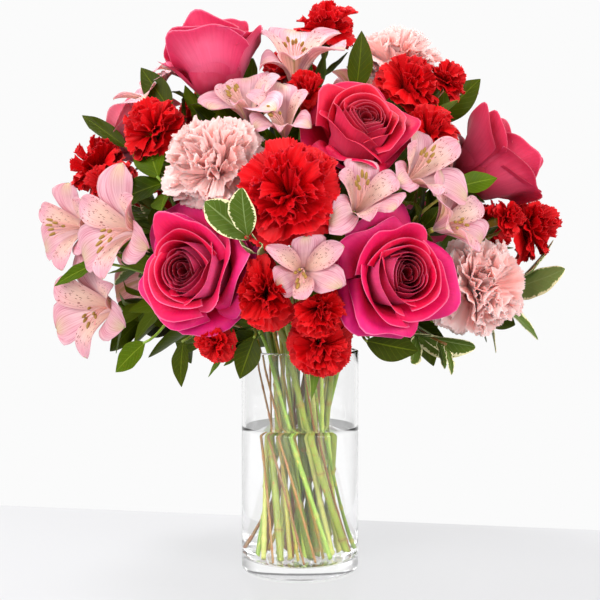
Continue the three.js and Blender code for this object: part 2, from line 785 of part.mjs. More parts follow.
const claimLeaves = (name, leaves = []) =>
  leaves.map(({ at, blades }) => {
    const site = claimSite(`${name}_leaves`, at, { claim: CLAIM.leaf, yields: true });
    return { site, blades };
  });

const claimHead = (name, species, head, face) =>
  claimSite(name, head, { claim: head[4] ?? CLAIM[species], face });

// First every site is claimed and settled, then every stem, so that each knows all its neighbours.
const plants = [
  ...ROSES.map((plant) => ({ ...plant, species: "rose" })),
  ...CARNATIONS.map((plant) => ({ ...plant, species: "carnation" })),
].map((plant) => ({
  ...plant,
  site: claimHead(plant.name, plant.species, plant.head, plant.face),
  leafSites: claimLeaves(plant.name, plant.leaves),
}));

const sprays = [
  ...SPRAYS,
  ...GREENERY.map((plant) => ({ ...plant, species: "greenery", heads: [] })),
].map((spray) => ({
  ...spray,
  headSites: spray.heads.map((head) => claimHead(spray.name, spray.species, head)),
  leafSites: claimLeaves(spray.name, spray.leaves),
}));

settleSites();

for (const plant of plants) {
  const { out, reach } = plant.site;
  plant.stem = claimStem(plant.name, out, STEM_RADIUS[plant.species], reach * FORK_SHARE);
}

for (const spray of sprays) {
  const tips = spray.headSites.length ? spray.headSites : spray.leafSites.map(({ site }) => site);
  const reach = Math.min(...tips.map((tip) => tip.reach));
  const sides = spray.species === "lily" ? 6 : 5;
  spray.stem = claimStem(spray.name, meanAim(tips), STEM_RADIUS[spray.species], reach * FORK_SHARE, sides);
}

settleSlots();

const random = makeRandom(7);
const CARNATION_CUP = [[0, 5.4], [18, 5.4], [27, 2.3]];
const SPRAY_CUP = [[0, 3.4], [8, 3.2], [14, 1.3]];

for (const { name, species, colour, site, leafSites, stem } of plants) {
  const isRose = species === "rose";
  const head = isRose ? roseHead(site.size, random) : carnationHead(site.size, random);
  const { base, settle } = settleIn(site, head);
  const loops = [head.foot, ...head.loops].map((loop) => loop.map(settle));
  const bloom = asSolid(skin(loops, new Set(head.edges.map((edge) => edge + 1))));
  addNode(name, bloom, base, material(colour ?? "rose", 0.6));

  const top = base.clone().addScaledVector(site.look, -GAP);
  const sprigs = leafSites.map((leaf) => setLeaves(leaf.site, leaf.blades));
  const tip = isRose
    ? { base: top.clone().addScaledVector(site.look, -8), look: site.look }
    : { base: top, look: site.look, cup: CARNATION_CUP };
  const stemBody = join([
    stemSolid(stem, tip, true, stem.radius * 0.85),
    ...(isRose ? [hip(top, site.look)] : []),
    ...sprigs.map((sprig) => stemSolid(stem, sprig, false, BRANCH_RADIUS)),
    ...sprigs.flatMap(({ solids }) => solids),
  ]);
  addNode(`${name}_stem`, stemBody, slotAt(stem.slot, VASE.height), material("stem", 0.55));
}

// A spray's bloom and its stem are one skin: the stem's last loop opens out into the bloom.
function sprayCarnation(stem, site, isFirst) {
  const head = carnationHead(site.size, random, { columns: 10, leans: [8, 42, 72] });
  const { base, settle } = settleIn(site, head);
  const { path, radii } = stemRun(stem, { base, look: site.look, cup: SPRAY_CUP }, isFirst, BRANCH_RADIUS);
  const across = new THREE.Vector3(1, 0, 0).transformDirection(frameOf(site.look));
  const stalk = stemLoops(path, radii, stem.sides, across);
  if (isFirst) stem.straight = stalk.slice(-2);
  const loops = [...stalk, [path.at(-1)]].reverse();
  const edges = new Set(head.edges.map((edge) => edge + loops.length));
  return asSolid(skin([...loops, ...head.loops.map((loop) => loop.map(settle))], edges));
}

function sprayLily(stem, site, isFirst) {
  const head = lilyHead(site.size, random);
  const { base, settle } = settleIn(site, head);
  const { path, radii } = stemRun(stem, { base, look: site.look }, isFirst, LILY_TUBE);
  const across = new THREE.Vector3(1, 0, 0).transformDirection(frameOf(site.look));
  const stalkLoops = stemLoops(path, radii, stem.sides, across);
  if (isFirst) stem.straight = stalkLoops.slice(-2);
  const stalk = skin([...stalkLoops.slice(1), [path.at(-1)]].reverse());
  // The last ring of the stalk is stitched to the bloom's own foot ring, which lies where it ends.
  const bloomPoints = head.bloom.points.map(settle);
  const offset = stalk.points.length;
  const rim = Array.from({ length: 6 }, (_, k) => offset - 6 + k);
  const foot = Array.from({ length: 6 }, (_, k) => offset + 1 + LILY_POINTS * k);
  const seam = rim.flatMap((low, k) => {
    const next = (k + 1) % 6;
    return [[low, rim[next], foot[next]], [low, foot[next], foot[k]]];
  });
  const bloomTriangles = head.bloom.triangles.map((triangle) => triangle.map((corner) => corner + offset));
  return asSolid({
    points: [...stalk.points, ...bloomPoints],
    triangles: [...stalk.triangles, ...seam, ...bloomTriangles],
  });
}

for (const { name, species, headSites, leafSites, stem } of sprays) {
  const grow = species === "lily" ? sprayLily : sprayCarnation;
  const sprigs = leafSites.map(({ site, blades }) => setLeaves(site, blades));
  const twigs = sprigs.map((sprig, i) => stemSolid(stem, sprig, i === 0 && !headSites.length, BRANCH_RADIUS));
  const body = join([
    ...headSites.map((site, i) => grow(stem, site, i === 0)),
    ...twigs,
    ...sprigs.flatMap(({ solids }) => solids),
  ]);
  const colour = { spray_carnation: "red", lily: "lily", greenery: "leaf" }[species];
  addNode(name, body, slotAt(stem.slot, VASE.height), material(colour, 0.6));
}

// ---------------------------------------------------------------- vase and water

function vaseSolid() {
  const { radius, height, wall, floor, edge, sides } = VASE;
  const inner = radius - wall;
  return asSolid(turned(
    [
      [0, 0], [radius - edge, 0], [radius, edge], [radius, height],
      [inner, height], [inner, floor + 3], [inner - 3, floor], [0, floor],
    ],
    sides,
  ));
}

const middleOf = (loop) =>
  loop.reduce((sum, point) => sum.add(point), new THREE.Vector3()).divideScalar(loop.length);

// A prism round a stem's straight stretch, with room all round and run on past the water's floor.
const HOLE_ROOM = 0.4;
const HOLE_RUN_ON = 8;

function stemHole({ straight: [mouth, foot], radius }) {
  const [top, bottom] = [middleOf(mouth), middleOf(foot)];
  const widen = 1 + HOLE_ROOM / (radius * Math.cos(Math.PI / foot.length));
  const rise = top.clone().sub(bottom);
  const runOn = rise.clone().setLength(HOLE_RUN_ON);
  const low = foot.map((point) => point.clone().sub(bottom).multiplyScalar(widen).add(bottom).sub(runOn));
  const high = low.map((point) => point.clone().add(rise));
  return asSolid(skin([[bottom.sub(runOn)], low, high, [bottom.clone().add(rise)]]));
}

// The water fills the vase to its level, with a plain straight hole for each stem.
function waterSolid() {
  const { radius, wall, floor, sides } = VASE;
  const inner = radius - wall - GAP;
  const bed = floor + GAP;
  const profile = [[0, bed], [inner - 3, bed], [inner, bed + 3], [inner, WATER_LEVEL], [0, WATER_LEVEL]];
  return stems.reduce((water, stem) => water.subtract(stemHole(stem)), asSolid(turned(profile, sides)));
}

addNode("vase", vaseSolid(), new THREE.Vector3(), material("glass", 0.05));
addNode("water", waterSolid(), new THREE.Vector3(0, 0, VASE.floor), material("water", 0.05));

export default bouquet;
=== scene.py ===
"""Roses, carnations, Peruvian lilies and greenery in a glass vase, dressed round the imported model.

The script works in millimetres and turns them into Blender's metres where a mesh is made.
"""

import bpy
import numpy as np
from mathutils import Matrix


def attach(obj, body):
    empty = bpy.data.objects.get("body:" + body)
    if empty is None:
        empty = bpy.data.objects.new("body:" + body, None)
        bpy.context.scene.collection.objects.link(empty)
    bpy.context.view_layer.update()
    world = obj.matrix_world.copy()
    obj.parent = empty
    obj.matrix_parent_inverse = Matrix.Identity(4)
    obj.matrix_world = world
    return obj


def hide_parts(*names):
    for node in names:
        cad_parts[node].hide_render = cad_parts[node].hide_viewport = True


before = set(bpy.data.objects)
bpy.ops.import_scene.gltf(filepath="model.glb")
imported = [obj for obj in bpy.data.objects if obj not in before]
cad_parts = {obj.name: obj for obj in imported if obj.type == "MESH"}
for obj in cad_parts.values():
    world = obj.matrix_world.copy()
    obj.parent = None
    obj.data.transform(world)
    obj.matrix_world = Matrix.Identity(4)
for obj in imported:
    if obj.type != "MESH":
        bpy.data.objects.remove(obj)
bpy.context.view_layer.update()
scene = bpy.context.scene


# ================================================================ camera, light and table
# A long lens level with the lower blooms, a large soft light from the upper left, a small one overhead
# and a large fill on the right, a pale table whose far edge runs a little off square, and white behind.

DEGREES_DOWN = 1.47
camera = bpy.data.objects.new("camera", bpy.data.cameras.new("camera"))
camera.location = (0, -0.885, 0.256)
camera.rotation_euler = (np.radians(90 - DEGREES_DOWN), 0, 0)
camera.data.lens = 60.9
scene.collection.objects.link(camera)
scene.camera = camera
scene.view_settings.view_transform = "Standard"


def soft_light(name, place, aim, width, power):
    """A square area light, width in metres, turned so that its -Z axis runs from its place to its aim."""
    light = bpy.data.lights.new(name, "AREA")
    light.energy = power
    light.size = width
    holder = bpy.data.objects.new(name, light)
    holder.location = place
    east, north, up = np.subtract(aim, place)
    holder.rotation_euler = (np.arctan2(np.hypot(east, north), -up), 0, np.arctan2(-east, north))
    scene.collection.objects.link(holder)


soft_light("key", (-1.0, -1.3, 0.85), (0, 0, 0.3), 1.1, 27)
soft_light("top", (-0.4, 0.12, 1.5), (0, 0, 0.2), 0.4, 12)
soft_light("fill", (1.3, -1.2, 0.8), (0, 0, 0.3), 1.0, 26)


class Shade:
    """A number, colour or vector inside a material. Arithmetic on it adds Math nodes."""

    def __init__(self, nodes, owner, out=0):
        self.nodes = nodes
        self.owner = owner
        self.socket = owner.outputs[out]

    def output(self, out):
        """Another output of the same node."""
        return Shade(self.nodes, self.owner, out)

    def math(self, operation, first, second):
        return self.nodes.node("Math", {"operation": operation}, {0: first, 1: second})

    def __add__(self, other):
        return self.math("ADD", self, other)

    def __sub__(self, other):
        return self.math("SUBTRACT", self, other)

    def __rsub__(self, other):
        return self.math("SUBTRACT", other, self)

    def __mul__(self, other):
        return self.math("MULTIPLY", self, other)

    def __pow__(self, other):
        return self.math("POWER", self, other)

    __radd__ = __add__
    __rmul__ = __mul__


class Nodes:
    """A tree of nodes. One method adds any node, and short ones add those that are used most."""

    def __init__(self, tree):
        self.tree = tree

    def fill(self, node, inputs):
        """Sets or links sockets, each given by its name or number."""
        for key, value in inputs.items():
            if isinstance(value, Shade):
                self.tree.links.new(value.socket, node.inputs[key])
            else:
                node.inputs[key].default_value = value

    def node(self, kind, settings, inputs, out=0):
        """Adds a node of a type: its settings first, then the values or links of its sockets."""
        node = self.tree.nodes.new("ShaderNode" + kind)
        for key, value in settings.items():
            setattr(node, key, value)
        self.fill(node, inputs)
        return Shade(self, node, out)

    def mix(self, share, first, second):
        """The first colour, with the second in its place by a share."""
        return self.node("Mix", {"data_type": "RGBA"}, {0: share, 6: first, 7: second}, 2)

    def step(self, value, low, high, start=0, end=1):
        """The start up to low, the end from high on, and a smooth ease between them."""
        sockets = {0: value, 1: low, 2: high, 3: start, 4: end}
        return self.node("MapRange", {"interpolation_type": "SMOOTHSTEP"}, sockets)

    def noise(self, place, scale, detail=2.0):
        return self.node("TexNoise", {}, {"Vector": place, "Scale": scale, "Detail": detail})

    def stretch(self, place, sizes):
        return self.node("VectorMath", {"operation": "MULTIPLY"}, {0: place, 1: sizes})

    def object_place(self):
        return self.node("TexCoord", {}, {}, 3)

    def own_map(self):
        """(across, along, both): a petal's or leaf's own map, 0 to 1 each way."""
        both = self.node("UVMap", {"uv_map": "blade"}, {})
        split = self.node("SeparateXYZ", {}, {0: both})
        return split, split.output(1), both

    def own_sort(self):
        """(draw, kind, side): a blade's own random number, its kind, and 1 on its face to -1 on its back."""
        split = self.node("SeparateXYZ", {}, {0: self.node("Attribute", {"attribute_name": "sort"}, {}, 1)})
        return split, split.output(1), split.output(2)

    def bump(self, height, strength, distance):
        return self.node("Bump", {}, {"Strength": strength, "Distance": distance, "Height": height})


class Finish(Nodes):
    """A material: one Principled surface, its fixed values, and the nodes that feed it."""

    def __init__(self, name, fixed):
        self.material = bpy.data.materials.new(name)
        self.material.use_nodes = True
        super().__init__(self.material.node_tree)
        self.surface = self.tree.nodes["Principled BSDF"]
        self.fill(self.surface, fixed)

    def feed(self, **inputs):
        """Feeds the surface: feed(Base_Color=..., Normal=...)."""
        self.fill(self.surface, {key.replace("_", " "): value for key, value in inputs.items()})

    def let_lamps_through(self, tint):
        """Puts a plain tint in for rays from lamps, so that they reach what stands behind the glass."""
        lamp_ray = self.node("LightPath", {}, {}, "Is Shadow Ray")
        tinted = self.node("BsdfTransparent", {}, {0: tint})
        both = self.node("MixShader", {}, {0: lamp_ray, 1: Shade(self, self.surface), 2: tinted})
        self.fill(self.tree.nodes["Material Output"], {"Surface": both})


def paint(red, green, blue):
    """A screen colour, 0 to 255 a channel, as the linear light that a socket takes."""
    screen = np.array([red, green, blue]) / 255
    linear = np.where(screen > 0.04045, ((screen + 0.055) / 1.055) ** 2.4, screen / 12.92)
    return (*linear.tolist(), 1.0)


WHITE = (1.0, 1.0, 1.0, 1.0)
ROOM = {"ahead": 0.965, "sides": 0.5, "scattered": 0.6}

# The room is darker at both sides, which gives the glass its grey edges, and dimmer for what a matt
# surface scatters, which keeps the shadows.
world = bpy.data.worlds.new("studio")
world.use_nodes = True
scene.world = world
sky = Nodes(world.node_tree)
facing = sky.node("TexCoord", {}, {}, "Generated")
sideways = sky.node("Math", {"operation": "ABSOLUTE"}, {0: sky.node("SeparateXYZ", {}, {0: facing})})
dimmed = sky.step(sideways, 0.5, 0.9, ROOM["ahead"], ROOM["sides"])
is_scattered = sky.node("LightPath", {}, {}, "Is Diffuse Ray")
glow = sky.node("MapRange", {}, {"Value": is_scattered, "To Min": dimmed, "To Max": ROOM["scattered"]})
sky.fill(world.node_tree.nodes["Background"], {"Color": WHITE, "Strength": glow})

TABLE_THICKNESS = 0.03
table_finish = Finish("white_table", {"Specular IOR Level": 0.15, "Emission Strength": 1.0})
grain = table_finish.noise(table_finish.object_place(), 9.0, 3.0)
# Under the vase the table glows brighter with painted light, which stands in for the light that the
# glass gathers there, up to 40 mm from its axis, and fades to its plain white at 52 mm.
from_axis = table_finish.node("VectorMath", {"operation": "LENGTH"}, {0: table_finish.object_place()}, 1)
painted_light_under_vase = table_finish.step(from_axis, 0.052, 0.04)
table_finish.feed(
    Base_Color=table_finish.mix(grain, paint(120, 120, 121), paint(126, 126, 127)),
    Roughness=0.4 + grain * 0.12,
    Emission_Color=table_finish.mix(painted_light_under_vase, (0.55, 0.55, 0.56, 1.0), (1.05, 1.05, 1.02, 1.0)),
)
table_mesh = bpy.data.meshes.new("table")
table_edge = np.array([[-1.3, -1.5], [1.3, -1.5], [1.3, -0.05], [-1.3, 0.4]])
levels = [np.full(4, -TABLE_THICKNESS), np.zeros(4)]
table_points = np.concatenate([np.c_[table_edge, level] for level in levels])
table_sides = [[k, (k + 1) % 4, 4 + (k + 1) % 4, 4 + k] for k in range(4)]
table_mesh.from_pydata(table_points.tolist(), [], [[3, 2, 1, 0], [4, 5, 6, 7], *table_sides])
table_mesh.materials.append(table_finish.material)
table = bpy.data.objects.new("table", table_mesh)
scene.collection.objects.link(table)


# ================================================================ the vase
# Clear blown glass: a straight cylinder with a thick flat base, a rounded foot and a fire-polished rim.
# One profile turned round its axis.

MM = 0.001
# The edge is the foot's rounding outside, and the corner the floor's inside.
VASE = {"radius": 51.0, "height": 190.0, "wall": 3.2, "floor": 11.0, "edge": 2.5, "corner": 4.0}


def arc(centre, radius, start, end, count):
    """Points of a circle's arc: centre + radius (cos a, sin a), with a from start to end in degrees."""
    angle = np.radians(np.linspace(start, end, count))
    return np.array(centre) + radius * np.c_[np.cos(angle), np.sin(angle)]


def turned(profile, sides):
    """A profile of (radius, height) turned round the z axis, x = r cos t, y = r sin t, with flat ends."""
    angle = np.linspace(0, 2 * np.pi, sides, endpoint=False)
    ring = np.stack([np.cos(angle), np.sin(angle)], -1)
    points = np.concatenate(
        [profile[:, None, :1] * ring, np.broadcast_to(profile[:, None, 1:], (len(profile), sides, 1))], -1
    )
    return tube_block(points)


def tube_block(rings):
    """A closed tube through rings of points (rings, sides, 3), its two ends capped. Faces point out where
    the rings turn anticlockwise as seen from the tube's far end."""
    count, sides = rings.shape[:2]
    index = np.arange(count * sides).reshape(count, sides)
    beside = np.roll(index, -1, 1)
    walls = np.stack([index[:-1], beside[:-1], beside[1:], index[1:]], -1).reshape(-1, 4)
    around, along = np.meshgrid(np.linspace(0, 1, sides), np.linspace(0, 1, count))
    return {
        "points": rings.reshape(-1, 3),
        "faces": [walls, index[:1, ::-1], index[-1:]],
        "map": np.stack([around.ravel(), along.ravel()], -1),
        "sort": np.zeros((count * sides, 3)),
    }


def make_piece(name, blocks, finish, slot, *nodes):
    """One mesh from blocks of points, faces, map and sort, handed to the frame in its nodes' place."""
    offsets = np.cumsum([0] + [len(block["points"]) for block in blocks])
    points = np.concatenate([block["points"] for block in blocks]) * MM
    groups = [faces + offset for block, offset in zip(blocks, offsets) for faces in block["faces"]]
    corners = np.concatenate([faces.ravel() for faces in groups]).astype(np.int32)
    sizes = np.concatenate([np.full(len(faces), faces.shape[1]) for faces in groups])
    starts = (np.cumsum(sizes) - sizes).astype(np.int32)
    mesh = bpy.data.meshes.new(name)
    mesh.vertices.add(len(points))
    mesh.vertices.foreach_set("co", points.astype(np.float32).ravel())
    mesh.loops.add(len(corners))
    mesh.loops.foreach_set("vertex_index", corners)
    mesh.polygons.add(len(starts))
    mesh.polygons.foreach_set("loop_start", starts)
    mesh.polygons.foreach_set("use_smooth", np.ones(len(starts), bool))
    mesh.update(calc_edges=True)
    own_map = np.concatenate([block["map"] for block in blocks])[corners]
    mesh.uv_layers.new(name="blade").data.foreach_set("uv", own_map.astype(np.float32).ravel())
    own_sort = np.concatenate([block["sort"] for block in blocks])
    sort = mesh.attributes.new("sort", "FLOAT_VECTOR", "POINT")
    sort.data.foreach_set("vector", own_sort.astype(np.float32).ravel())
    # A sheet's border is sharp, so that its face and its back are each shaded as one smooth side.
    border = np.concatenate([block.get("border", np.zeros(len(block["points"]), bool)) for block in blocks])
    edges = np.empty(len(mesh.edges) * 2, np.int32)
    mesh.edges.foreach_get("vertices", edges)
    creases = mesh.attributes.new("sharp_edge", "BOOLEAN", "EDGE")
    creases.data.foreach_set("value", border[edges.reshape(-1, 2)].all(1))
    mesh.materials.append(finish.material)
    piece = bpy.data.objects.new(name, mesh)
    scene.collection.objects.link(piece)
    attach(piece, "root")
    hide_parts(*nodes)


glass = Finish("clear_glass", {"Transmission Weight": 1.0, "IOR": 1.47, "Base Color": WHITE})
glass.let_lamps_through(paint(244, 246, 245))
seeds = glass.noise(glass.object_place(), 60.0, 2.0)
glass.feed(Roughness=glass.step(seeds, 0.55, 0.8) * 0.02, Normal=glass.bump(seeds, 0.03, 0.0005))

# The profile runs out under the base, up the wall, over the rim, down inside and in along the floor.
inner = VASE["radius"] - VASE["wall"]
rim = VASE["wall"] / 2
corner_middle = (inner - VASE["corner"], VASE["floor"] + VASE["corner"])
vase_profile = np.concatenate(
    [
        [[14.0, 0.5], [38.0, 0.3], [44.0, 0.0], [46.5, 0.0]],
        arc((VASE["radius"] - VASE["edge"], VASE["edge"]), VASE["edge"], -90, 0, 7),
        np.c_[np.full(12, VASE["radius"]), np.linspace(14, 176, 12)],
        arc((VASE["radius"] - rim, VASE["height"] - rim), rim, 0, 180, 11),
        np.c_[np.full(12, inner), np.linspace(176, 22, 12)],
        arc(corner_middle, VASE["corner"], 0, -90, 8),
        [[30.0, VASE["floor"] - 0.2], [14.0, VASE["floor"] - 0.4]],
    ]
)
make_piece("vase_glass", [turned(vase_profile, 144)], glass, "glass", "vase")


# ================================================================ the water
# Clear water two thirds up the vase, drawn up a hair where it meets the glass. It reaches another hair
# into the wall, so that light passes straight from water to glass.

WATER_LEVEL = 124.0
INTO_GLASS = 0.08

water = Finish("clear_water", {"Transmission Weight": 1.0, "IOR": 1.333, "Base Color": WHITE})
water.let_lamps_through(paint(250, 251, 250))
calm = water.noise(water.object_place(), 18.0, 1.0)
water.feed(Roughness=calm * 0.004, Normal=water.bump(calm, 0.02, 0.001))

wet = inner + INTO_GLASS
climb = np.linspace(0, 1, 9)
water_profile = np.concatenate(
    [
        [[10.0, VASE["floor"] - 0.45], [30.0, VASE["floor"] - 0.25], [wet - 4.2, VASE["floor"] - INTO_GLASS]],
        arc(corner_middle, VASE["corner"] + INTO_GLASS, -84, 0, 7),
        np.c_[np.full(8, wet), np.linspace(22, WATER_LEVEL - 4, 8)],
        np.c_[wet - 3 * climb**1.3, WATER_LEVEL + 0.12 * (1 - climb) ** 3],
        [[20.0, WATER_LEVEL], [6.0, WATER_LEVEL]],
    ]
)
make_piece("water_body", [turned(water_profile, 96)], water, "water", "water")


# ================================================================ the bunch as it is tied
# Every head has its own place on the dome, a cone from the hub just over the vase's mouth, and the stems
# cross below it as a twisted sheaf. Heads are [azimuth, elevation, reach, size, claim]: degrees round
# from the front and up from level, then millimetres out to the head's middle and across the head.

HUB = np.array([0.0, 0.0, 210.0])
# Heads look straight away from this point, unless their plant names the azimuth and elevation of its face.
LOOK_FROM = np.array([0.0, 20.0, 245.0])
# How wide a cone each kind takes, as a share of its size, unless a head has a claim of its own.
CLAIM = {"rose": 1.04, "carnation": 1.0, "spray_carnation": 0.8, "lily": 0.9, "leaf": 0.5}

# Leaves are [azimuth, elevation, reach, size] and their blades [turn, tilt, length, width].
PLANTS = {
    "rose_top_left": {
        "heads": [[-45, 66, 238, 90]],
        "face": [-112, 76],
        "leaves": [[[-58, 54, 222, 24], [[150, 30, 50, 21]]]],
    },
    "rose_left_back": {"heads": [[-101, 50, 228, 86]], "leaves": [[[-85, 45, 224, 24], [[180, 14, 50, 16]]]]},
    "rose_upper_right": {"heads": [[21, 50, 198, 88]], "leaves": [[[30, 65, 218, 22], [[90, 12, 48, 22]]]]},
    "rose_right": {
        "heads": [[80, 40, 216, 94]], "face": [97, 38], "leaves": [[[80, 56, 216, 28], [[0, 14, 60, 28]]]],
    },
    "rose_lower_left": {
        "heads": [[-32, 18, 156, 92]],
        "leaves": [
            [[-46, 32, 164, 22], [[60, 55, 34, 18]]],
            [[-46, -4, 136, 26], [[270, 60, 36, 19]]],
            [[-17, -2, 126, 30], [[250, 60, 34, 20], [200, 62, 30, 16]]],
        ],
    },
    "rose_lower_right": {
        "heads": [[29, 17, 154, 92]],
        "leaves": [[[10, 27, 158, 12], [[80, 50, 26, 14]]], [[25, -3, 128, 32], [[350, 72, 44, 24]]]],
    },
    "rose_back_left": {"heads": [[-152, 23, 176, 96]], "leaves": [[[-133, 5, 168, 26], [[20, 35, 48, 24]]]]},
    "rose_back_right": {"heads": [[142, 31, 184, 98]], "leaves": [[[163, 17, 172, 24], [[240, 40, 44, 24]]]]},
    "carnation_blush_left": {"heads": [[-27, 42, 192, 86]]},
    "carnation_red_middle": {"heads": [[-3, 36, 180, 84, 1.08]]},
    "carnation_blush_top": {"heads": [[72, 69, 240, 78]]},
    "carnation_blush_right": {"heads": [[61, 12, 168, 84]]},
    "carnation_red_back": {"heads": [[176, 55, 202, 88]]},
    "carnation_blush_back": {"heads": [[-176, 9, 168, 86]]},
    "spray_carnation_left": {"heads": [[-56, 49, 214, 58], [-84, 38, 222, 60], [-68, 35, 204, 48]]},
    "spray_carnation_top": {"heads": [[-88, 70, 262, 50], [-170, 77, 238, 54], [40, 82, 256, 56]]},
    "spray_carnation_upper_right": {"heads": [[53, 61, 228, 56], [69, 58, 244, 38], [48, 49, 210, 50]]},
    "spray_carnation_right": {
        "heads": [[82, 24, 216, 62], [71, 27, 202, 34], [106, 26, 202, 56], [118, 9, 180, 58]],
    },
    "spray_carnation_low": {
        "heads": [[-11, 13, 146, 60], [6, 8, 140, 48], [7, -4, 128, 50], [-29, -3, 134, 32]],
    },
    "spray_carnation_middle": {"heads": [[3, 61, 212, 42]]},
    "spray_carnation_back": {"heads": [[-128, 42, 206, 60], [-112, 29, 204, 54], [-121, 61, 222, 54]]},
    "lily_spray_top": {"heads": [[-4, 72, 230, 80], [-22, 57, 212, 62], [-6, 53, 204, 60]]},
    "lily_spray_top_left": {"heads": [[-72, 65, 244, 54], [-76, 57, 236, 54]]},
    "lily_spray_left": {
        "heads": [[-57, 26, 188, 76, 1], [-84, 24, 214, 66], [-79, 6, 176, 76]], "face": [-38, 4],
        "leaves": [
            [[-51, 40, 196, 28], [[120, 60, 54, 32], [215, 66, 56, 30], [310, 60, 46, 26]]],
            [[-74, 16, 190, 22], [[215, 45, 50, 15]]],
            [[-66, -5, 148, 24], [[215, 50, 42, 20]]],
        ],
    },
    "lily_spray_middle": {"heads": [[18, 34, 180, 72, 1], [1, 19, 154, 64]]},
    "lily_spray_right": {
        "heads": [[37, 40, 194, 66, 1], [46, 28, 184, 66]],
        "leaves": [[[55, 37, 196, 22], [[0, 50, 40, 18]]]],
    },
    "lily_spray_right_back": {
        "heads": [[94, 60, 242, 60], [121, 47, 218, 68], [101, 37, 234, 54], [140, 67, 230, 64]],
    },
    "lily_spray_back": {"heads": [[149, 4, 164, 62], [173, 32, 186, 60]]},
    "lily_spray_back_left": {"heads": [[-124, 15, 184, 72], [-155, 47, 200, 68], [-147, 67, 224, 60]]},
    "pittosporum_middle": {"leaves": [[[-16, 28, 186, 26], [[88, 40, 38, 22], [142, 50, 42, 25]]]]},
    "pittosporum_right": {
        "leaves": [
            [[84, 9, 186, 50], [[84, 40, 62, 30], [140, 22, 66, 30], [292, 34, 62, 26], [262, 62, 54, 22]]],
            [[58, -5, 146, 22], [[260, 45, 26, 12], [285, 55, 24, 10]]],
        ],
    },
    "pittosporum_left": {
        "leaves": [
            [[-101, 20, 196, 40], [[150, 30, 44, 22], [210, 30, 44, 22]]],
            [[-101, 36, 206, 36], [[120, 30, 42, 20], [60, 34, 40, 20]]],
        ],
    },
    "salal_left": {
        "leaves": [
            [[-105, 2, 162, 46], [[200, 40, 52, 30], [320, 45, 50, 28]]],
            [[-132, -2, 152, 40], [[240, 45, 48, 28]]],
        ],
    },
    "salal_back": {
        "leaves": [
            [[-156, 1, 148, 44], [[240, 45, 50, 30], [330, 45, 46, 26]]],
            [[-156, -4, 140, 30], [[200, 60, 44, 26]]],
        ],
    },
    "salal_right": {
        "leaves": [
            [[101, 6, 170, 46], [[200, 45, 50, 28], [300, 45, 48, 28]]],
            [[131, -1, 152, 44], [[250, 45, 48, 30], [40, 45, 44, 26]]],
        ],
    },
    "salal_high": {
        "leaves": [
            [[158, 70, 216, 40], [[0, 30, 50, 26], [180, 30, 48, 26]]],
            [[-112, 74, 226, 40], [[90, 30, 48, 26]]],
        ],
    },
}


def towards(azimuth, elevation):
    """The unit vector (cos e sin a, -cos e cos a, sin e), azimuth a and elevation e in degrees."""
    a, e = np.radians(azimuth), np.radians(elevation)
    return np.array([np.cos(e) * np.sin(a), -np.cos(e) * np.cos(a), np.sin(e)])


def species_of(name):
    """The kind of plant that a stem's name begins with."""
    kinds = ["rose", "carnation", "spray_carnation", "lily"]
    return next((kind for kind in kinds if name.startswith(kind)), "greenery")


class Place:
    """Where one head or twig of leaves stands: its cone from the hub, and the way that it looks."""

    def __init__(self, owner, spot, kind, face=None):
        azimuth, elevation, self.reach, self.size = spot[:4]
        [claim] = spot[4:] or [CLAIM[kind]]
        self.owner = owner
        self.out = towards(azimuth, elevation)
        self.half_angle = np.arctan(claim * self.size / 2 / self.reach)
        self.face = face
        self.yields = kind == "leaf"

    def settle(self, places):
        """Fixes the middle, the look and the walls, each the plane where two round cones cross."""
        self.middle = HUB + self.reach * self.out
        look = towards(*self.face) if self.face else self.middle - LOOK_FROM
        self.look = look / np.linalg.norm(look)
        right = np.cross([0, 0, 1], self.look)
        self.right = right / np.linalg.norm(right)
        self.up = np.cross(self.look, self.right)
        others = [other for other in places if other.owner != self.owner]
        pulls = np.array([other.out / np.cos(other.half_angle) for other in others])
        walls = self.out / np.cos(self.half_angle) - pulls
        self.walls = walls / np.linalg.norm(walls, axis=1)[:, None]

    def world(self, points, base):
        """Points of the head's own frame in the bouquet: base + x right + y up + z look."""
        return base + points @ np.stack([self.right, self.up, self.look])

    def room(self, points, slack):
        """How far points stand along the cone's axis and from it, which way, and how far the walls are."""
        from_hub = points - HUB
        along = from_hub @ self.out
        side = from_hub - along[..., None] * self.out
        spread = np.linalg.norm(side, axis=-1)
        way = side / np.maximum(spread, 1e-6)[..., None]
        lean = -(way @ self.walls.T)
        room = along[..., None] * (self.walls @ self.out) + slack
        nearest = np.where(lean > 1e-6, room / np.maximum(lean, 1e-6), np.inf).min(-1)
        return along, spread, way, nearest

    def press(self, points, core, full, slack):
        """Draws points in towards the cone's axis by the share that brings the head's full radius to the
        walls, less a core that keeps its size. Slack is how far the petals reach in among their
        neighbours' petals."""
        along, spread, way, nearest = self.room(points, slack)
        share = np.minimum(1, np.maximum(nearest - core, 0.1) / (full - core))
        kept = np.where(spread <= core, spread, core + (spread - core) * share)
        return HUB + along[..., None] * self.out + kept[..., None] * way

    def tuck(self, points, slack, ceiling):
        """Draws points in to room tanh(spread / room) from the cone's axis, so that they stay in its walls,
        and lets them rise past the ceiling by a sixth only, so that they stay under the head."""
        along, spread, way, nearest = self.room(points, slack)
        nearest = np.clip(nearest, 1.0, 500.0)
        along = np.minimum(along, ceiling + (along - ceiling) / 6)
        return HUB + along[..., None] * self.out + (nearest * np.tanh(spread / nearest))[..., None] * way


LEAF_ROUNDS = 200


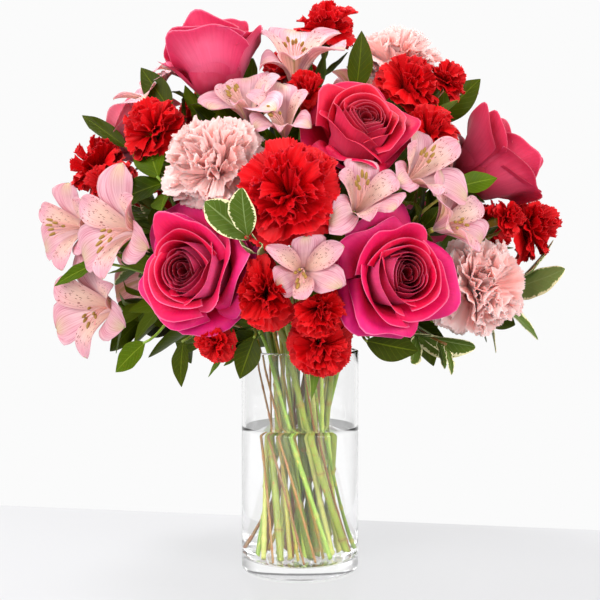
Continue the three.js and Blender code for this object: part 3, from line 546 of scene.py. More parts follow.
def settle_places(places):
    """Leaves slide over the dome, half of what they lack at a time, out of the heads' cones."""
    outs = [place.out.tolist() for place in places]
    angles = [place.half_angle for place in places]
    leaves = [k for k, place in enumerate(places) if place.yields]
    rivals = {k: [j for j, other in enumerate(places) if other.owner != places[k].owner] for k in leaves}
    for _ in range(LEAF_ROUNDS):
        for k in leaves:
            for j in rivals[k]:
                (x, y, z), (a, b, c) = outs[k], outs[j]
                cosine = min(1.0, x * a + y * b + z * c)
                wanted = angles[k] + angles[j]
                if cosine <= np.cos(wanted):
                    continue
                short = (wanted - np.arccos(cosine)) / 2
                apart = np.array([x - a, y - b, z - c])
                moved = np.array(outs[k]) + apart * short / np.linalg.norm(apart)
                outs[k] = (moved / np.linalg.norm(moved)).tolist()
    for place, out in zip(places, outs):
        place.out = np.array(out)
    for place in places:
        place.settle(places)


places = []
for name, plant in PLANTS.items():
    plant["kind"] = species_of(name)
    spots, twigs = plant.get("heads", []), plant.get("leaves", [])
    plant["heads"] = [Place(name, spot, plant["kind"], plant.get("face")) for spot in spots]
    plant["leaves"] = [(Place(name + "_leaves", spot, "leaf"), blades) for spot, blades in twigs]
    places += plant["heads"] + [leaf for leaf, _ in plant["leaves"]]
settle_places(places)

# The sheaf turns by its twist, in degrees, between the mouth and the floor. A stem's slot stands further
# from the axis the more its heads lean, up to the mouth's and the foot's radius for the full lean, and is
# turned ahead of them by the lead. Stems keep room from each other, from the wall and over the floor.
SHEAF = {"twist": 105.0, "mouth": 41.0, "foot": 37.0, "lean": 88.0, "lead": 18.0}
ROOM_ROUND_STEMS = {"gap": 0.9, "from_wall": 2.0, "over_floor": 0.3}
# A bend leaves its start and meets its end along pulls, which are shares of the way between the two.
BEND = {"trunk_pull": 0.4, "branch_pull": 0.35, "steps": 12}
SLOT_ROUNDS = 400
# The radius that a stem takes up in the sheaf, in millimetres.
STEM_RADIUS = {"rose": 3.2, "carnation": 2.7, "spray_carnation": 2.1, "lily": 2.8, "greenery": 1.9}


class Stem:
    """One stem: straight through the vase from a slot in its mouth, then bending out to its fork, half way
    from the hub to the nearest of its heads."""

    def __init__(self, tips, radius):
        aim = sum(tip.out * tip.size for tip in tips)
        self.aim = aim / np.linalg.norm(aim)
        self.radius = radius
        self.fork = HUB + self.aim * min(tip.reach for tip in tips) * 0.5
        lean = min(90 - np.degrees(np.arcsin(self.aim[2])), SHEAF["lean"])
        azimuth = np.arctan2(self.aim[0], -self.aim[1]) + np.radians(SHEAF["lead"])
        out = SHEAF["mouth"] * lean / SHEAF["lean"]
        self.slot = out * np.exp(1j * (np.pi / 2 - azimuth))

    def at(self, height):
        """The slot at a height: it moves straight from the mouth to its turned and shrunk place below."""
        share = (VASE["height"] - height) / (VASE["height"] - VASE["floor"])
        foot = self.slot * np.exp(-1j * np.radians(SHEAF["twist"])) * SHEAF["foot"] / SHEAF["mouth"]
        here = self.slot * (1 - share) + foot * share
        return np.array([here.real, -here.imag, height])

    def trunk(self):
        """Points from the foot up the straight part and on along the bend to the fork."""
        mouth, low = self.at(VASE["height"]), self.at(VASE["floor"])
        line = (mouth - low) / np.linalg.norm(mouth - low)
        over_floor = ROOM_ROUND_STEMS["over_floor"] + self.radius * np.sqrt(1 - line[2] ** 2)
        foot = self.at(VASE["floor"] + over_floor)
        pull = np.linalg.norm(mouth - self.fork) * BEND["trunk_pull"]
        bend = bezier(mouth, mouth + line * pull, self.fork - self.aim * pull, self.fork, BEND["steps"])
        return np.concatenate([foot + (mouth - foot) * np.linspace(0, 1, 90)[:-1, None], bend])

    def branch(self, tip, look):
        """Points from the fork to a tip, which the branch meets along its look."""
        pull = np.linalg.norm(self.fork - tip) * BEND["branch_pull"]
        return bezier(self.fork, self.fork + self.aim * pull, tip - look * pull, tip, BEND["steps"])


def bezier(start, first, second, end, steps):
    """Points of a cubic Bezier curve: the four points weighted (1-t)^3, 3t(1-t)^2, 3t^2(1-t) and t^3."""
    t = np.linspace(0, 1, steps + 1)[:, None]
    return start * (1 - t) ** 3 + first * 3 * t * (1 - t) ** 2 + second * 3 * t**2 * (1 - t) + end * t**3


def settle_slots(stems):
    """Stems push each other apart in the mouth until all can pass the sheaf's waist."""
    turn = np.exp(-1j * np.radians(SHEAF["twist"])) * SHEAF["foot"] / SHEAF["mouth"]
    share = np.linspace(0, 1, 60)
    waist = np.abs((1 - share) + turn * share).min()
    for _ in range(SLOT_ROUNDS):
        for k, one in enumerate(stems):
            for other in stems[k + 1 :]:
                apart = other.slot - one.slot
                short = (one.radius + other.radius + ROOM_ROUND_STEMS["gap"]) / waist - abs(apart)
                if short > 0:
                    push = apart / abs(apart) * short / 2
                    one.slot -= push
                    other.slot += push
        for stem in stems:
            most = VASE["radius"] - VASE["wall"] - stem.radius - ROOM_ROUND_STEMS["from_wall"]
            stem.slot *= min(1, most / max(abs(stem.slot), 1e-9))


for plant in PLANTS.values():
    tips = plant["heads"] or [leaf for leaf, _ in plant["leaves"]]
    plant["stem"] = Stem(tips, STEM_RADIUS[plant["kind"]])
settle_slots([plant["stem"] for plant in PLANTS.values()])


# ================================================================ roses
# Eight cut roses, wide or half open: velvety petals cupped round each other from a tight dark heart, the
# outer ones rolled back over themselves. Each petal is a thin closed sheet.

# A head's petals start behind its middle by the sink. Where neighbours press them in, the core keeps its
# size, and the full radius comes to the walls or past them by the slack. The sink and the full radius are
# shares of the head's size, the core and the slack are in millimetres.
ROSE_SINK = 0.4
ROSE_CORE = 8.0
ROSE_FULL = 0.6
ROSE_SLACK = 5.0
PETAL_THICKNESS = 0.45

# A layer of petals, from the outside in: how many, the rim's radius and height, half a petal's width in
# degrees, the slope from the rose's axis at its foot and along its body, the roll of its lip, and where
# along the petal the lip starts. Radius and height are shares of the rose's size.
ROSE_LAYERS = np.array(
    [
        [3, 0.61, 0.29, 66, 84, 64, 56, 0.74],
        [3, 0.52, 0.43, 64, 80, 46, 78, 0.76],
        [3, 0.39, 0.565, 68, 76, 20, 70, 0.83],
        [3, 0.28, 0.63, 72, 70, 4, 48, 0.9],
        [3, 0.2, 0.635, 74, 64, -4, 34, 0.93],
        [3, 0.142, 0.615, 76, 58, -7, 24, 0.95],
        [3, 0.112, 0.61, 78, 54, -7, 20, 0.95],
        [3, 0.085, 0.6, 82, 50, -7, 18, 0.95],
        [2, 0.058, 0.59, 115, 46, -6, 16, 0.96],
        [2, 0.031, 0.58, 125, 42, -4, 12, 0.96],
    ]
)


def eased(value, low, high):
    """0 up to low, 1 from high on, and 3 t^2 - 2 t^3 between them."""
    t = np.clip((value - low) / (high - low), 0, 1)
    return t * t * (3 - 2 * t)


def sheet_block(points, thickness, draws, kinds):
    """Closed sheets over a stack of grids (sheet, row, column, 3): the grid's inner points stand half the
    thickness off it to each side, and both sides share the border. Columns cross rows points at the back."""
    count, rows, columns = points.shape[:3]
    normal = np.cross(np.gradient(points, axis=2), np.gradient(points, axis=1))
    normal /= np.maximum(np.linalg.norm(normal, axis=-1, keepdims=True), 1e-9)
    inside = (slice(None), slice(1, -1), slice(1, -1))
    back = points.copy()
    back[inside] += normal[inside] * thickness / 2
    face = (points[inside] - normal[inside] * thickness / 2).reshape(-1, 3)
    back_index = np.arange(back[..., 0].size).reshape(count, rows, columns)
    face_index = back_index.copy()
    face_index[inside] = back_index.size + np.arange(len(face)).reshape(count, rows - 2, columns - 2)

    def quads(index):
        low, high = index[:, :-1], index[:, 1:]
        return np.stack([low[..., :-1], low[..., 1:], high[..., 1:], high[..., :-1]], -1).reshape(-1, 4)

    across, along = np.meshgrid(np.linspace(0, 1, columns), np.linspace(0, 1, rows))
    own_map = np.broadcast_to(np.stack([across, along], -1), (count, rows, columns, 2))
    sort = np.zeros((count, rows, columns, 3))
    sort[..., 0] = np.reshape(draws, (-1, 1, 1))
    sort[..., 1] = np.reshape(kinds, (-1, 1, 1))
    face_sort = sort[inside] + [0, 0, 1]
    sort[inside] -= [0, 0, 1]
    border = np.ones((count, rows, columns), bool)
    border[inside] = False
    return {
        "points": np.concatenate([back.reshape(-1, 3), face]),
        "faces": [quads(back_index), quads(face_index)[:, ::-1]],
        "map": np.concatenate([own_map.reshape(-1, 2), own_map[inside].reshape(-1, 2)]),
        "sort": np.concatenate([sort.reshape(-1, 3), face_sort.reshape(-1, 3)]),
        "border": np.concatenate([border.ravel(), np.zeros(len(face), bool)]),
    }


def polar(radius, angle, height):
    """Points at a radius and an angle round the z axis: (r cos a, r sin a, height)."""
    return np.stack(np.broadcast_arrays(radius * np.cos(angle), radius * np.sin(angle), height), -1)


def rose_petals(size, closed, random):
    """Cupped petals (petal, row, column, 3). The slope from the axis eases from the foot's to the body's,
    then the lip rolls out, most at its sides, which leaves a pointed middle. Radius and height are the
    running sums of the slope's sine and cosine, scaled to bring the middle of the rim to its place. A
    rose that is partly closed has its outer rims drawn in and up, and rolls them less."""
    counts = ROSE_LAYERS[:, 0].astype(int)
    layer = np.repeat(np.arange(len(counts)), counts)
    draw = random.normal(0, 1, (8, len(layer), 1, 1))
    _, rim_radius, rim_height, half_width, foot, body, curl, lip = ROSE_LAYERS[layer].T[:, :, None, None]
    rim_radius = rim_radius - 0.5 * closed * np.maximum(rim_radius - 0.28, 0)
    rim_height = rim_height + 0.75 * closed * np.maximum(0.66 - rim_height, 0)
    place = np.concatenate([np.arange(count) / count for count in counts])[:, None, None]
    turn = 2 * np.pi * place + 1.9 * layer[:, None, None] + 0.2 * draw[0]
    u = np.linspace(-1, 1, 21)[None, None, :]
    v = 1 - (1 - np.linspace(0, 1, 19)[None, :, None]) ** 1.3
    side = np.abs(u)
    outer = eased(rim_radius, 0.16, 0.42)
    roll = curl * (1 - 0.55 * closed) * (1 + 0.2 * draw[1])
    roll = roll * (0.5 + 1.0 * side**1.5) * eased(v, lip - 0.12 * side**2, 1.03)
    body = body * (1 - 0.45 * closed) + 4 * outer * draw[2]
    slope = np.radians(foot + (body - foot) * eased(v, 0, 0.42) + roll)
    corner = outer * np.exp(-(((u - 0.4 * np.clip(draw[7], -1, 1)) / 0.26) ** 2)) * eased(v[:, 1:], 0.6, 1)
    length = np.diff(v, axis=1) * (1 - 0.14 * side**2.6 + 0.55 * corner)
    middle = (slope[:, 1:] + slope[:, :-1]) / 2
    out = np.pad(np.cumsum(np.sin(middle) * length, axis=1), ((0, 0), (1, 0), (0, 0)))
    up = np.pad(np.cumsum(np.cos(middle) * length, axis=1), ((0, 0), (1, 0), (0, 0)))
    tip = (slice(None), slice(-1, None), slice(10, 11))
    out *= rim_radius * (1 + np.clip(0.05 * outer * draw[3], -0.09, 0.07)) / out[tip]
    up *= (rim_height + (0.006 + 0.022 * outer) * draw[4]) / up[tip]
    wave = outer * v**3 * (0.026 * np.sin(2.6 * u + 3 * draw[5]) + 0.012 * np.sin(6.5 * u + 3 * draw[6]))
    under = (0.011 + 0.02 * outer) * u * eased(v, 0.1, 0.6)
    angle = turn + np.radians(half_width) * u * (0.55 + 0.45 * eased(v, 0, 0.55)) + 0.1 * v
    height = size * (0.02 + up + wave - 0.02 * outer * u * v**2)
    return polar(size * (0.02 + out + under + 0.5 * wave), angle, height), layer


def petal_finish(name, face, back, edge, deep, flush, shine, glow, heart):
    """Velvet petals: face and back colours, a thin pale edge that is partly their own and partly a painted
    highlight, a deeper foot that is partly their own colour and partly painted shade, painted shade in the
    heart, a flush of another hue on the outer petals' faces, a painted highlight in the middle of their
    backs, fine veins, a soft sheen, and a glow of light let through."""
    finish = Finish(
        name,
        {
            "Subsurface Weight": glow,
            "Subsurface Radius": (1.0, 0.35, 0.3),
            "Subsurface Scale": 0.003,
            "Sheen Weight": shine,
            "Sheen Roughness": 0.4,
            "Sheen Tint": edge,
            "Specular IOR Level": 0.2,
        },
    )
    across, along, both = finish.own_map()
    draw, layer, side = finish.own_sort()
    place = finish.object_place()
    veins = finish.noise(finish.stretch(both, (46.0, 2.0, 1.0)), 1.0, 2.0)
    mottle = finish.noise(place, 55.0, 3.0)
    patches = finish.noise(place, 22.0, 2.0)
    on_face = finish.step(side, -0.4, 0.4)
    face_colour = finish.mix(finish.step(along, 0.45, 0.95) * finish.step(layer, 0.35, 0.0), face, flush)
    # Painted highlight: the middle of the outer petals' backs is drawn paler, towards the edge colour.
    painted_highlight = finish.step(along, 0.1, 0.45) * finish.step(along, 0.95, 0.6) * finish.step(across, 0.0, 0.4)
    painted_highlight = painted_highlight * finish.step(across, 1.0, 0.6) * finish.step(layer, 0.35, 0.1)
    back_colour = finish.mix(painted_highlight * 0.28, back, edge)
    base = finish.mix(on_face, back_colour, face_colour)
    # Darker towards the foot: partly the petals' deeper colour there and partly painted shade down in the
    # flower.
    base = finish.mix(finish.step(along, 0.6, 0.1) * 0.85, base, deep)
    # Painted shade in the heart: the inner layers are drawn in the deep colour, by the heart's share.
    painted_heart_shade = finish.step(layer, 0.3, 0.9) * heart
    base = finish.mix(painted_heart_shade, base, deep)
    base = finish.mix(veins * 0.42 + patches * 0.3 - 0.22, base, deep)
    # Paler by random mottle and tone, and along the rim by a thin line that is partly the petal's own paler
    # edge and partly a painted highlight.
    pale = finish.step(mottle, 0.5, 0.8) * 0.1 + draw * 0.08 + finish.step(along, 0.955, 1.0) * 0.5
    base = finish.mix(pale * (1.0 - painted_heart_shade * 0.7), base, edge)
    finish.feed(
        Base_Color=base,
        Roughness=0.48 + mottle * 0.14,
        Normal=finish.bump(veins + mottle * 0.5, 0.4, 0.0006),
    )
    return finish


def paints(colours):
    """Several screen colours at once."""
    return [paint(*colour) for colour in colours]


# Face, back, edge (partly a painted highlight), the deep colour of the foot and heart (painted shade
# there), and the outer petals' flush.
ROSE_COLOURS = {
    "deep": [(236, 0, 68), (212, 66, 124), (252, 130, 172), (128, 0, 16), (214, 0, 116)],
    "crimson": [(218, 2, 44), (208, 44, 84), (250, 116, 146), (124, 0, 12), (208, 14, 78)],
    "pink": [(218, 20, 76), (212, 46, 92), (250, 140, 174), (136, 0, 26), (214, 38, 96)],
    "pale": [(236, 106, 136), (238, 128, 152), (252, 188, 200), (184, 46, 80), (236, 134, 160)],
}
# The roses' hearts are drawn 0.95 of the way to the foot and heart colour, as painted shade.
rose_finishes = {
    name: petal_finish("rose_petal_" + name, *paints(colours), 0.04, 0.15, 0.95)
    for name, colours in ROSE_COLOURS.items()
}
# Roses that are not deep pink, and those that are partly closed, up to 1.
ROSE_TINTS = {
    "rose_top_left": "pink",
    "rose_left_back": "pale",
    "rose_upper_right": "crimson",
    "rose_right": "crimson",
    "rose_back_left": "pale",
}
ROSE_CLOSED = {"rose_top_left": 0.85, "rose_right": 0.8, "rose_left_back": 0.5, "rose_upper_right": 0.15}


def set_petals(head, points, sink, core, full, slack, draws, kinds):
    """Petals of a head's own frame set in the bouquet and pressed in among its neighbours. The four sizes
    are in millimetres here."""
    settled = head.press(head.world(points, head.middle - head.look * sink), core, full, slack)
    return sheet_block(settled, PETAL_THICKNESS, draws, kinds)


def plants_of(*kinds):
    """(name, plant, random) of each plant of these kinds, or of every plant. The random numbers start
    from the plant's place in the list."""
    for seed, (name, plant) in enumerate(PLANTS.items()):
        if not kinds or plant["kind"] in kinds:
            yield name, plant, np.random.default_rng(seed)


for name, plant, random in plants_of("rose"):
    [head] = plant["heads"]
    petals, layer = rose_petals(head.size, ROSE_CLOSED.get(name, 0), random)
    sizes = (head.size * ROSE_SINK, ROSE_CORE, head.size * ROSE_FULL, ROSE_SLACK)
    block = set_petals(head, petals, *sizes, random.random(len(petals)), layer / (len(ROSE_LAYERS) - 1))
    make_piece(name + "_bloom", [block], rose_finishes[ROSE_TINTS.get(name, "deep")], "rose_petal", name)


# ================================================================ carnations
# Six large florist's carnations and seven sprays of small ones. Fringed petals fan out from a green cup
# in every direction over a dome, ruffled, with saw-toothed edges.

# Sink, core and full radius are shares of the head's size, the slack is in millimetres, and the lift, by
# which the petals start over the cup's middle, is a share of half the size.
CARNATION_SINK = 0.25
CARNATION_CORE = 0.09
CARNATION_FULL = 0.52
CARNATION_SLACK = 2.5
CARNATION_LIFT = 0.3
GOLDEN_TURN = np.pi * (3 - np.sqrt(5))


def carnation_petals(size, petals, columns, rows, frill, random):
    """Fans (petal, row, column, 3) from a point over the cup. Petal k stands at k golden turns round and
    leans down evenly by area over the dome, broad and smooth at the bottom, narrow, folded and crinkled
    at the top. A fan's point is the lift plus its length along the way that its column takes, bent outward
    by v^2, and ruffled across by sine waves that grow with v."""
    half = size / 2
    share = ((np.arange(petals) + 0.5) / petals)[:, None, None]
    draw = random.uniform(-1, 1, (11, petals, 1, 1))
    u = np.linspace(-1, 1, columns)[None, None, :]
    v = np.linspace(0.04, 1, rows)[None, :, None] ** 0.85
    rise = np.arcsin(np.clip(1 - share * 1.17, -1, 1)) + 0.2 * draw[0] * (1 - 0.5 * share)
    turn = np.arange(petals)[:, None, None] * GOLDEN_TURN + 0.3 * draw[1]
    way = polar(np.cos(rise), turn, np.sin(rise))
    level = polar(1.0, turn + np.pi / 2, 0.0)
    roll = (0.2 + 1.0 * (1 - share)) * draw[2]
    flat = np.cross(level, way)
    side = level * np.cos(roll)[..., None] + flat * np.sin(roll)[..., None]
    back = np.cross(side, way)
    fan = np.radians(20 + 26 * share + 6 * draw[3]) * u
    tooth = random.uniform(0.3, 1.0, (petals, 1, columns)) * (np.arange(columns) % 2)
    notch = (0.06 - 0.025 * share) * tooth * (np.arange(rows)[:, None] == rows - 1)
    lobes = 0.05 * share * np.sin(2 * turn + 6 * random.random()) + 0.04 * share * np.sin(5 * turn)
    reach = 0.92 + 0.06 * share + lobes + (0.1 - 0.04 * share) * draw[4]
    length = half * reach * (1 - 0.08 * np.abs(u) ** 3 - notch)
    fine = 1 - 0.6 * share
    ruffle = np.sin((6.0 + 1.5 * draw[10]) * u + 3 * draw[6]) + 0.75 * fine * np.sin(12.5 * u + 3 * draw[7])
    ruffle = ruffle + 0.35 * fine * np.sin(23.0 * u + 5.0 * v + 3 * draw[5])
    ruffle = ruffle + 1.2 * fine * draw[8] * np.abs(u)
    depth = half * frill * (0.088 - 0.045 * share) * v**1.7 * ruffle
    fold = np.sign(draw[9]) * (0.35 + 0.65 * np.abs(draw[9])) * (0.5 - 0.42 * share**0.6)
    depth = depth + half * (0.02 + 0.22 * share + fold) * v**2.2
    lift = half * CARNATION_LIFT * eased(v, 0, 0.4)
    points = length[..., None] * v[..., None] * (way * np.cos(fan)[..., None] + side * np.sin(fan)[..., None])
    return points + back * depth[..., None] + lift[..., None] * np.array([0, 0, 1]), share.ravel()


# Face, back, edge (partly a painted highlight), foot (partly their deeper colour and partly painted
# shade) and the outer petals' flush, then how much light the petals let through.
CARNATION_COLOURS = {
    "blush": [(251, 200, 195), (250, 198, 194), (254, 226, 222), (252, 176, 172), (248, 202, 198), 0.5],
    "red": [(216, 0, 14), (198, 4, 20), (242, 40, 50), (146, 0, 4), (208, 0, 14), 0.15],
    "scarlet": [(214, 0, 10), (194, 2, 14), (244, 44, 46), (136, 0, 0), (206, 0, 10), 0.15],
}
carnation_finishes = {
    name: petal_finish("carnation_petal_" + name, *paints(colours), 0.06, glow, 0.0)
    for name, (*colours, glow) in CARNATION_COLOURS.items()
}
# How many petals a head has, with the columns and rows of each, and how deep they are ruffled.
CARNATION_GRIDS = {"carnation": (64, 35, 8), "spray_carnation": (38, 23, 6)}
CARNATION_FRILLS = {"blush": 1.0, "red": 0.85, "scarlet": 1.0}


def carnation_bloom(head, grid, frill, random):
    size = head.size
    points, share = carnation_petals(size, *grid, frill, random)
    sizes = (size * CARNATION_SINK, size * CARNATION_CORE, size * CARNATION_FULL, CARNATION_SLACK)
    return set_petals(head, points, *sizes, random.random(len(share)), 1 - share)


for name, plant, random in plants_of("carnation", "spray_carnation"):
    if plant["kind"] == "carnation":
        colour = "blush" if "blush" in name else "red"
        slot, ending = colour + "_petal", "_bloom"
    else:
        colour, slot, ending = "scarlet", "red_petal", "_blooms"
    grid, frill = CARNATION_GRIDS[plant["kind"]], CARNATION_FRILLS[colour]
    blocks = [carnation_bloom(head, grid, frill, random) for head in plant["heads"]]
    make_piece(name + ending, blocks, carnation_finishes[colour], slot, name)


# ================================================================ Peruvian lilies
# Sprays of pale pink Peruvian lilies: a funnel of three broad outer petals and three narrow inner ones,
# which are creamy and flecked with dark dashes.

# A petal's length and the full radius are shares of the head's size, and the sink is one of the length.
LILY_LENGTH = 0.62
LILY_SINK = 0.5
LILY_CORE = 4.0
LILY_FULL = 0.62
LILY_SLACK = 2.5


def lily_petals(length, random):
    """Six petals (petal, row, column, 3), broad ones at even places. The middle line rises out of the
    funnel and arches over to the tip. A broad petal is widest three quarters along, a narrow one two
    thirds, and each is channelled, with an edge that waves and, near a broad petal's tip, is toothed."""
    broad = (np.arange(6) % 2 == 0)[:, None, None]
    draw = random.uniform(-1, 1, (7, 6, 1, 1))
    spin = random.uniform(0, 2 * np.pi)
    middle = (np.arange(6)[:, None, None] - 0.5) * np.pi / 3 + 0.07 * draw[0]
    u = np.linspace(-1, 1, 15)[None, None, :]
    v = 1 - (1 - np.linspace(0, 1, 21)[None, :, None]) ** 1.4
    upward = np.cos(middle + spin)
    tip_out = np.where(broad, 1.02, 0.88) * (1 + 0.07 * draw[1])
    tip_up = np.where(broad, 0.6, 0.82) + 0.12 * draw[2] + 0.08 * upward
    out = 0.05 + 0.14 * v * (1 - v) + (tip_out - 0.05) * v**1.3
    up = 1.5 * v * (1 - v) + tip_up * v**2
    broad_width = 0.64 * v**0.85 * (1 - v**4.5) ** 0.6
    narrow_width = 0.4 * v**0.7 * (1 - v**3.4) ** 0.7
    width = np.where(broad, broad_width, narrow_width) + 0.02
    teeth = np.where(broad, 0.012, 0.0) * np.sin(46 * v) * eased(v, 0.7, 0.85) * u**4
    wave = 0.04 * np.sin(8 * v + 4 * draw[3] + 2.5 * u) * u**2 * v
    curl = 0.16 * draw[4] * u * v**2 * width
    channel = np.where(broad, 0.2, 0.34) * u**2 * width
    away = channel + wave + curl - 0.05 * v**4
    radial = polar(1.0, middle, 0.0)
    aside = polar(1.0, middle + np.pi / 2, 0.0)
    bow = out - 0.45 * away
    points = radial * bow[..., None] + aside * ((width + teeth) * u)[..., None]
    return length * (points + (up + 0.85 * away)[..., None] * np.array([0, 0, 1])), broad.ravel() * 1.0


def lily_petal_finish():
    """Pale pink with fine rosy veins. Broad petals have a paler throat and an olive middle, narrow ones a
    cream throat with dark dashes on the face. Tips are olive, and backs have an olive rib and, on some,
    brown stripes."""
    finish = Finish(
        "lily_petal",
        {
            "Subsurface Weight": 0.5,
            "Subsurface Radius": (1.0, 0.6, 0.55),
            "Subsurface Scale": 0.004,
            "Sheen Weight": 0.05,
            "Specular IOR Level": 0.35,
        },
    )
    across, along, both = finish.own_map()
    draw, broad, side = finish.own_sort()
    veins = finish.noise(finish.stretch(both, (34.0, 1.4, 1.0)), 1.0, 2.0)
    mottle = finish.noise(finish.object_place(), 60.0, 2.0)
    off_middle = (across - 0.5) * (across - 0.5) * 4.0
    near_middle = 1.0 - finish.step(off_middle, 0.0, 0.35)
    on_face = finish.step(side, -0.4, 0.4)
    on_back = 1.0 - on_face
    pink = finish.mix(on_face, paint(231, 166, 171), paint(221, 162, 172))
    pink = finish.mix(finish.step(veins, 0.4, 0.7) * 0.7 + mottle * 0.2, pink, paint(184, 92, 116))
    throat = finish.step(along, 0.6, 0.1) * near_middle
    pale = finish.mix(throat * 0.6, pink, paint(240, 200, 194))
    pale = finish.mix(near_middle * finish.step(along, 0.4, 0.95) * 0.5, pale, paint(188, 176, 108))
    creamy = finish.step(along, 0.8, 0.35) * (1.0 - off_middle * 0.6)
    cream = finish.mix(creamy * 0.7, pink, paint(238, 196, 170))
    fleck_map = {"Vector": finish.stretch(both, (19.0, 15.0, 1.0)), "Scale": 1.0, "Randomness": 0.9}
    flecks = finish.step(finish.node("TexVoronoi", {"feature": "F1"}, fleck_map), 0.34, 0.22)
    dashes = flecks * finish.step(along, 0.78, 0.62) * on_face * finish.step(along, 0.12, 0.3)
    colour = finish.mix(broad, finish.mix(dashes * 0.85, cream, paint(120, 20, 36)), pale)
    tip = finish.step(along, 0.9, 0.99) * finish.step(off_middle, 0.5, 0.0)
    colour = finish.mix(tip * 0.8, colour, paint(150, 156, 74))
    stripes = finish.step(finish.noise(finish.stretch(both, (16.0, 0.8, 1.0)), 1.0, 1.0), 0.5, 0.6)
    brown = finish.step(along, 0.95, 0.4) * on_back * finish.step(draw, 0.35, 0.9) * stripes
    colour = finish.mix(brown * 0.7, colour, paint(172, 92, 70))
    rib = finish.step(off_middle, 0.02, 0.0) * on_back * finish.step(along, 1.0, 0.5)
    colour = finish.mix(rib * 0.55, colour, paint(160, 150, 84))
    finish.feed(Base_Color=colour, Roughness=0.42 + mottle * 0.1, Normal=finish.bump(veins, 0.3, 0.0005))
    return finish


def lily_bloom(head, random):
    length = head.size * LILY_LENGTH
    points, broad = lily_petals(length, random)
    sizes = (length * LILY_SINK, LILY_CORE, head.size * LILY_FULL, LILY_SLACK)
    return set_petals(head, points, *sizes, random.random(6), broad)


lily_finish = lily_petal_finish()
for name, plant, random in plants_of("lily"):
    blocks = [lily_bloom(head, random) for head in plant["heads"]]
    make_piece(name + "_blooms", blocks, lily_finish, "lily_petal", name)


# ================================================================ stamens and pistils
# Six curved stamens and a pistil stand in each Peruvian lily: pale threads, and ochre anthers that shed
# their dust. Each is one tube along a bent line.

THREAD_RADIUS = 0.42
ANTHER = {"middle": 0.89, "half": 0.1, "swell": 0.95}


def ringed(path, radii, across, sides):
    """The rings of a tube along a path: each stands square to the path, its first point towards across."""
    ways = np.gradient(path, axis=0)
    ways /= np.linalg.norm(ways, axis=1)[:, None]
    first = across - (ways @ across)[:, None] * ways
    first /= np.linalg.norm(first, axis=1)[:, None]
    second = np.cross(ways, first)
    angle = np.linspace(0, 2 * np.pi, sides, endpoint=False)[None, :, None]
    offset = first[:, None] * np.cos(angle) + second[:, None] * np.sin(angle)
    return path[:, None] + offset * np.reshape(radii, (-1, 1, 1))


def stamens(head, random):
    """Seven arching tubes from the funnel: each leans out as t^1.6, and all sag to one side as t^2. All but
    the last, the pistil, swell into an anther, with the outline of an ellipse."""
    length = head.size * LILY_LENGTH
    base = head.middle - head.look * length * LILY_SINK
    t = np.concatenate([np.linspace(0, 0.8, 9), np.linspace(0.84, 1, 9)])
    droop = random.uniform(0, 2 * np.pi)
    blocks = []
    for k in range(7):
        turn = 2 * np.pi * k / 7 + random.uniform(-0.3, 0.3)
        out = random.uniform(0.1, 0.22) * t**1.6
        up = 0.1 + random.uniform(0.72, 0.9) * t - 0.12 * t**3
        sag = 0.3 * t**2
        path = length * (polar(out, turn, up) + polar(sag, droop, 0.0))
        bulge = np.sqrt(np.clip(1 - ((t - ANTHER["middle"]) / ANTHER["half"]) ** 2, 0, 1))
        swell = ANTHER["swell"] * bulge if k < 6 else 0.3 * eased(t, 0.9, 1)
        world = head.press(head.world(path, base), LILY_CORE, head.size * LILY_FULL, LILY_SLACK)
        block = tube_block(ringed(world, THREAD_RADIUS + swell, head.right, 6))
        block["sort"][:, 1] = k < 6
        blocks.append(block)
    return blocks


stamen_finish = Finish("stamen", {"Sheen Weight": 0.1})
_, along, _ = stamen_finish.own_map()
_, has_anther, _ = stamen_finish.own_sort()
dust = stamen_finish.noise(stamen_finish.object_place(), 900.0, 2.0)
thread = stamen_finish.mix(along, paint(238, 200, 186), paint(226, 150, 150))
anther = stamen_finish.mix(dust, paint(118, 78, 18), paint(180, 142, 56))
stamen_finish.feed(
    Base_Color=stamen_finish.mix(stamen_finish.step(along, 0.5, 0.56) * has_anther, thread, anther),
    Roughness=0.6 + dust * 0.2,
    Normal=stamen_finish.bump(dust, 0.3, 0.0002),
)
for name, plant, random in plants_of("lily"):
    blocks = [block for head in plant["heads"] for block in stamens(head, random)]
    make_piece(name + "_stamens", blocks, stamen_finish, "lily_petal", name)


# ================================================================ leaves
# Leaves grow in twigs of their own or from a flower's stem: dark smooth ones, rose, carnation and lily
# leaves, and pittosporum with a waved cream edge. Each is a thin closed sheet.

# In millimetres: how far behind its place a twig ends, the steps down it from leaf to leaf, the core that
# keeps its size where leaves are pressed in, and how thick a leaf is.
TWIG_DEPTH = 8.0
TWIG_STEP = 7.0
LEAF_CORE = 2.0
LEAF_THICKNESS = 0.6


def leaf_grid(root, way, normal, length, width, blunt, ripple):
    """One blade (row, column, 3): half the width times a power of sin(pi v^p) across, folded up along the
    midrib by 0.18 u^2 and bent back by 0.16 v^2. A blunt leaf is widest further out and rounder at its
    tip. The ripple is added along its normal."""
    u = np.linspace(1, -1, 11)[None, :, None]
    v = 1 - (1 - np.linspace(0, 1, 21)[:, None, None]) ** 1.25
    outline = np.maximum(np.sin(np.pi * v ** (0.8 + 0.6 * blunt)), 0) ** (1 - 0.4 * blunt)
    half = width / 2 * outline + 0.4 * (1 - v)
    bend = 0.18 * half * u**2 - 0.16 * length * v**2 + ripple[..., None]
    return root + way * length * v + np.cross(way, normal) * half * u + normal * bend


def ripple_of(wavy, random):
    """A blade's wave, (row, column): sin(22 v), a little out of step on its two sides, which grows as u^2
    towards the edge and fades to the tip."""
    u, v = np.linspace(1, -1, 11)[None, :], np.linspace(0, 1, 21)[:, None]
    return wavy * np.sin(22 * v + 3 * np.sign(u) + random.uniform(0, 6)) * u**2 * (1 - v)


